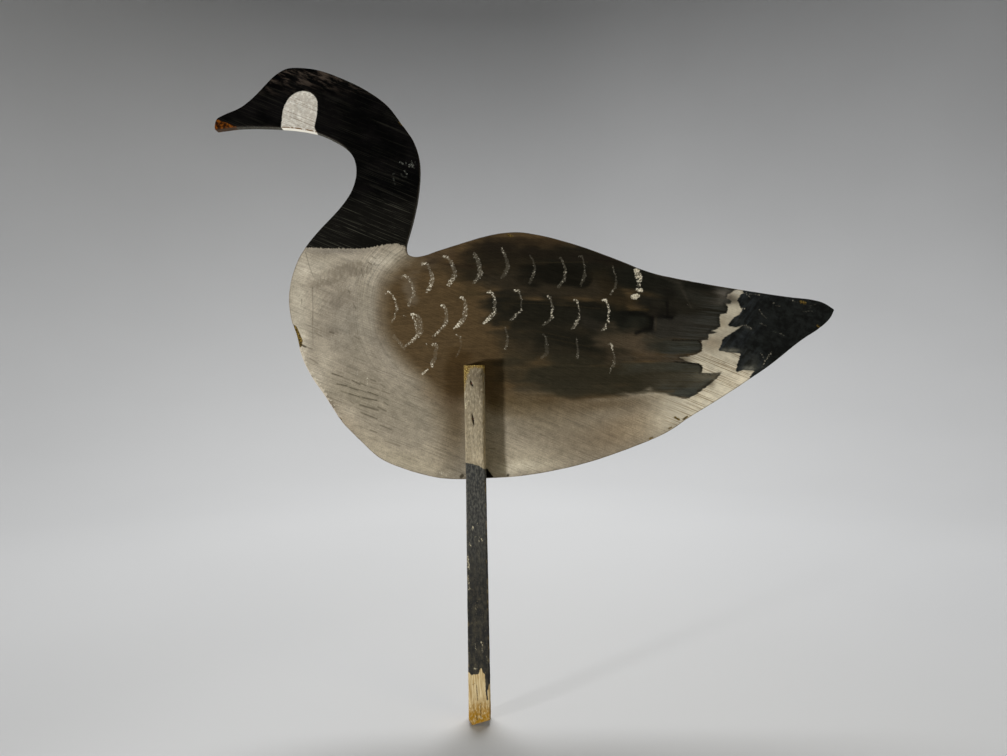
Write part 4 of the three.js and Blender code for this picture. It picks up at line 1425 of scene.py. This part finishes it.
def edge_paint(nodes, p, colour):
    """The sawn edge, thin grey over the wood under the chin and white under the cheek, then the
    bare wood at the bill and along worn edges. The bill's sawn edge is darkened with painted shade,
    and a dark line along the face's edge is partly dirt, partly painted shade."""
    wall = nodes.times(nodes.ease(0.6, 1.2, p.depth), nodes.ease(9.2, 8.6, p.depth))
    grey = nodes.mix(nodes.ease(0.45, 0.62, p.specks), *EDGE_GREYS)
    colour = nodes.cover(colour, grey, wall, p.neck, 0.85)
    colour = nodes.cover(colour, EDGE_WHITE, wall, p.cheek)
    arris = nodes.times(nodes.ease(-0.02, 0.04, p.depth), nodes.ease(1.3, 0.9, p.depth))
    colour = nodes.cover(colour, ARRIS_BROWN, arris, p.cheek, nodes.ease(0.42, 0.52, p.ragged))
    wood = nodes.mix(nodes.ease(0.42, 0.62, p.ragged), *BILL_WOODS)
    # The bill's sawn edge is darkened: painted shade.
    wood = nodes.cover(wood, BILL_EDGE_SHADE, wall, 0.8)
    colour = nodes.mix(nodes.edge_of("bill_wood", 0.5, p.ragged, 1.2), colour, wood)

    rim = nodes.read("rim")
    on_black = nodes.spread(nodes.math("MAXIMUM", p.neck, p.tail), 0.5, 0.1)
    # A dark line along the face's edge, partly dirt and partly painted shade of the eased arris, faint on the
    # black paint.
    rim_dirt_and_shade = nodes.times(nodes.ease(1.5, 0.3, rim), nodes.ease(0.34, 0.50, p.blotches), on_black)
    colour = nodes.cover(colour, DIRT_AND_SHADE_RIM, rim_dirt_and_shade)
    side = nodes.times(
        nodes.ease(*WORN_SIDE_ROWS, p.down),
        nodes.ease(*WORN_SIDE_END_ROWS, p.down),
        nodes.ease(*WORN_SIDE_COLUMNS, p.across),
    )
    worn = nodes.plus(nodes.spread(p.ragged, 9.0, -5.0), nodes.times(rim, -1.0))
    return nodes.cover(colour, WORN_RIM, nodes.ease(-0.5, 0.8, worn), side, 0.7)


def marks(nodes, p, colour):
    """Chips, and on the painted side alone the dirt, the dabs and the scratches."""
    front = nodes.read("front")
    wood = nodes.mix(nodes.ease(0.4, 0.6, p.specks), *CHIP_WOODS)
    colour = nodes.cover(colour, wood, nodes.stroke_tone("bare", 0.6, p.specks))
    dark = nodes.mix(nodes.ease(0.92, 1.0, nodes.read("dark_load")), DIRT, DEEP_DIRT)
    colour = nodes.cover(colour, dark, nodes.stroke_tone("dark", 0.7, p.specks), front)
    light = nodes.mix(nodes.ease(0.40, 0.66, p.flecks), *DAB_WHITES)
    light = nodes.mix(p.neck, light, NECK_SCRATCH)
    return nodes.cover(colour, light, nodes.stroke_cover("light", 0.5, p.flecks), front)


def board_material():
    nodes = Nodes("board_paint")
    p = nodes.patterns(BOARD_PATTERNS)
    p.across, p.down, p.depth = [nodes.part(nodes.read("picture", "Vector"), axis) for axis in "XYZ"]
    p.tail = nodes.edge_of("tail", 0.6, p.teeth, 1.5)
    p.neck = nodes.edge_of("neck", 0.5, p.upright_teeth, 2.2)
    p.cheek = nodes.edge_of("cheek", 0.45, p.ragged, 0.9)
    colour = body_paint(nodes, p)
    for area in (wing_paint, rump_paint, tail_paint, neck_paint, edge_paint, marks):
        colour = area(nodes, p, colour)
    height = nodes.plus(nodes.times(p.lines, 0.6), nodes.times(p.specks, 0.4))
    nodes.shader.inputs["Specular IOR Level"].default_value = 0.03
    return nodes.finish(colour, nodes.spread(p.blotches, 0.5, 0.72), height, 0.12 * MM)


def stake_paint(nodes, p, colour):
    """Worn grey paint next to the board, charcoal below it, and the frayed top."""
    torn = nodes.math("SUBTRACT", p.ragged, 0.5)
    paint = nodes.scale(nodes.read("coat", "Color"), nodes.swing((p.bumps, 1.5), (p.specks, 0.5)))
    paint = nodes.cover(paint, STAKE_FLECKS, nodes.ease(0.56, 0.70, p.bumps), 0.5)
    colour = nodes.mix(nodes.ease(*PAINT_ROWS, p.down), colour, paint)
    brown = nodes.ease(*BROWN_CHARCOAL_ROWS, p.down)
    grey = nodes.mix(nodes.ease(0.38, 0.66, p.bumps), *CHARCOALS)
    grey = nodes.scale(grey, nodes.swing((p.streaks, 0.8)))
    charcoal = nodes.mix(brown, grey, nodes.mix(nodes.ease(0.40, 0.68, p.blotches), *BROWN_CHARCOALS))
    charcoal = nodes.cover(charcoal, CHARCOAL_RUBBED, nodes.ease(0.60, 0.74, p.specks), brown, 0.5)
    covered = nodes.plus(nodes.read("charcoal"), nodes.times(torn, 2.0))
    colour = nodes.mix(nodes.ease(-0.4, 0.4, covered), colour, charcoal)
    frayed = nodes.plus(nodes.read("frayed"), nodes.times(torn, 5.0))
    raw = nodes.mix(nodes.ease(0.50, 0.64, p.specks), *RAW_WOODS)
    return nodes.cover(colour, raw, nodes.ease(-1.5, 1.5, frayed), 0.85)


def stake_material():
    nodes = Nodes("stake_wood")
    p = nodes.patterns(STAKE_PATTERNS)
    p.down = nodes.part(nodes.read("picture", "Vector"), "Y")
    front = nodes.read("front")

    # Bare wood, stained towards the foot
    colour = nodes.mix(nodes.ease(0.3, 0.7, p.streaks), *FOOT_WOODS)
    stained = nodes.times(nodes.ease(*STAINED_ROWS, p.down), nodes.ease(0.46, 0.60, p.ragged))
    colour = nodes.cover(colour, FOOT_STAIN, stained, 0.6)
    colour = nodes.cover(colour, FOOT_TOE, nodes.ease(*TOE_ROWS, p.down), nodes.ease(0.32, 0.56, p.bumps))
    colour = stake_paint(nodes, p, colour)

    # End grain, rubbed arrises, then the marks on the face in view
    end_tone = nodes.mix(nodes.ease(0.35, 0.7, p.ragged), *END_GRAINS)
    colour = nodes.mix(nodes.read("ends"), colour, end_tone)
    rubbed = nodes.times(nodes.ease(1.0, 0.2, nodes.read("rim")), nodes.ease(0.52, 0.62, p.blotches))
    colour = nodes.cover(colour, STAKE_ARRIS, rubbed, 0.7)
    colour = nodes.cover(colour, STAKE_LIGHT, nodes.stroke_cover("light", 0.4, p.specks), front, 0.9)
    colour = nodes.cover(colour, STAKE_DARK, nodes.stroke_tone("dark", 0.4, p.specks), front)
    height = nodes.plus(nodes.times(p.streaks, 0.5), nodes.times(p.specks, 0.5))
    nodes.shader.inputs["Specular IOR Level"].default_value = 0.2
    return nodes.finish(colour, nodes.spread(p.blotches, 0.65, 0.85), height, 0.35 * MM)


def nail_material():
    nodes = Nodes("nail_steel")
    rust = nodes.noise(nodes.in_object(), 900.0, 3.0, 0.65)
    colour = nodes.mix(nodes.ease(0.35, 0.65, rust), *NAIL_RUSTS)
    nodes.shader.inputs["Metallic"].default_value = 0.5
    return nodes.finish(colour, nodes.spread(rust, 0.45, 0.85), rust, 0.05 * MM)


# Stage, lights and camera

FLOOR_DROP = 0.2 * MM  # below the stake's foot
FLOOR_FLAT = 1.5  # radius of the flat floor, in metres
FLOOR_WALL = 4.2  # radius of the wall that it curves up into
WALL_HEIGHT = 3.6
FLOOR_SIDES = 128
FLAT_RINGS = 6
BEND_RINGS = 24

# Lights: place, target, size in metres, watts, colour
# The key light is aimed high, so that the floor near it stays in its dark rim.
AREA_LIGHTS = {
    "floor_light": ((0.0, 1.1, 2.7), (0.0, 1.1, 0), 1.6, 71, (1.0, 1.0, 1.0)),
}
SPOT_LIGHTS = {
    "key_light": ((-0.900, -0.828, 0.085), (0.0, 0.0, 0.53), 0.13, 63, (1.0, 0.998, 1.0)),
    "fill_light": ((0.95, -0.95, 0.35), (0.0, 0.0, 0.35), 0.7, 13, (1.0, 0.84, 0.46)),
}
SPOT_CONE = math.radians(64)
SPOT_BLEND = 0.43
WORLD_COLOUR = (1.0, 0.96, 0.88, 1.0)
WORLD_STRENGTH = 0.08


def build_stage():
    """A round floor that curves up into a wall, without an edge that shows."""
    nodes = Nodes("studio_floor")
    cloud = nodes.noise(nodes.in_object(), 1.2)
    nodes.finish(nodes.mix(cloud, *FLOOR_GREYS), 0.9, cloud, 0.1 * MM)
    profile = [(FLOOR_FLAT * k / FLAT_RINGS, 0.0) for k in range(1, FLAT_RINGS + 1)]
    bend = FLOOR_WALL - FLOOR_FLAT
    for k in range(1, BEND_RINGS + 1):
        angle = math.pi / 2 * k / BEND_RINGS
        profile.append((FLOOR_FLAT + bend * math.sin(angle), bend * (1 - math.cos(angle))))
    profile.append((FLOOR_WALL, WALL_HEIGHT))
    angles = np.arange(FLOOR_SIDES) * 2 * math.pi / FLOOR_SIDES
    points = [(0, 0, -FLOOR_DROP)]
    for radius, height in profile:
        points += [(radius * math.cos(a), radius * math.sin(a), height - FLOOR_DROP) for a in angles]
    rows = np.arange(1, len(points)).reshape(len(profile), FLOOR_SIDES)
    faces = [(0, a, b) for a, b in zip(rows[0], np.roll(rows[0], -1))]
    for first, second in zip(rows, rows[1:]):
        faces += band(first, second)
    mesh = bpy.data.meshes.new("studio_floor")
    mesh.from_pydata(points, [], faces)
    mesh.shade_smooth()
    mesh.materials.append(nodes.material)
    stage = bpy.data.objects.new("studio_floor", mesh)
    bpy.context.scene.collection.objects.link(stage)


def add_light(name, kind, place, target, watts, colour):
    data = bpy.data.lights.new(name, kind)
    data.energy = watts
    data.color = colour
    lamp = bpy.data.objects.new(name, data)
    lamp.location = place
    lamp.rotation_euler = (Vector(target) - Vector(place)).to_track_quat("-Z", "Y").to_euler()
    lamp.visible_camera = False
    bpy.context.scene.collection.objects.link(lamp)
    return data


def build_lights():
    for name, (place, target, size, watts, colour) in SPOT_LIGHTS.items():
        data = add_light(name, "SPOT", place, target, watts, colour)
        data.shadow_soft_size = size / 2
        data.spot_size = SPOT_CONE
        data.spot_blend = SPOT_BLEND
    for name, (place, target, size, watts, colour) in AREA_LIGHTS.items():
        data = add_light(name, "AREA", place, target, watts, colour)
        data.shape = "DISK"
        data.size = size
    world = bpy.data.worlds.new("studio")
    world.use_nodes = True
    background = world.node_tree.nodes["Background"]
    background.inputs["Color"].default_value = WORLD_COLOUR
    background.inputs["Strength"].default_value = WORLD_STRENGTH
    bpy.context.scene.world = world
    bpy.context.scene.view_settings.view_transform = "Standard"


def build_camera():
    data = bpy.data.cameras.new("picture_camera")
    data.sensor_width = SENSOR
    data.lens = FOCAL_PIXELS / PICTURE_SIZE[0] * SENSOR
    data.clip_start = 0.05
    data.clip_end = 50
    camera = bpy.data.objects.new("picture_camera", data)
    turn = Matrix((PICTURE_RIGHT, PICTURE_UP, (0, -1, 0))).transposed().to_4x4()
    camera.matrix_world = Matrix.Translation(CAMERA_PLACE) @ turn
    bpy.context.scene.collection.objects.link(camera)
    bpy.context.scene.camera = camera


build_board(board_material())
build_stake(stake_material())
for name in ("nail_upper", "nail_lower"):
    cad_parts[name].data.materials.clear()
    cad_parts[name].data.materials.append(nail_material())
build_stage()
build_lights()
build_camera()
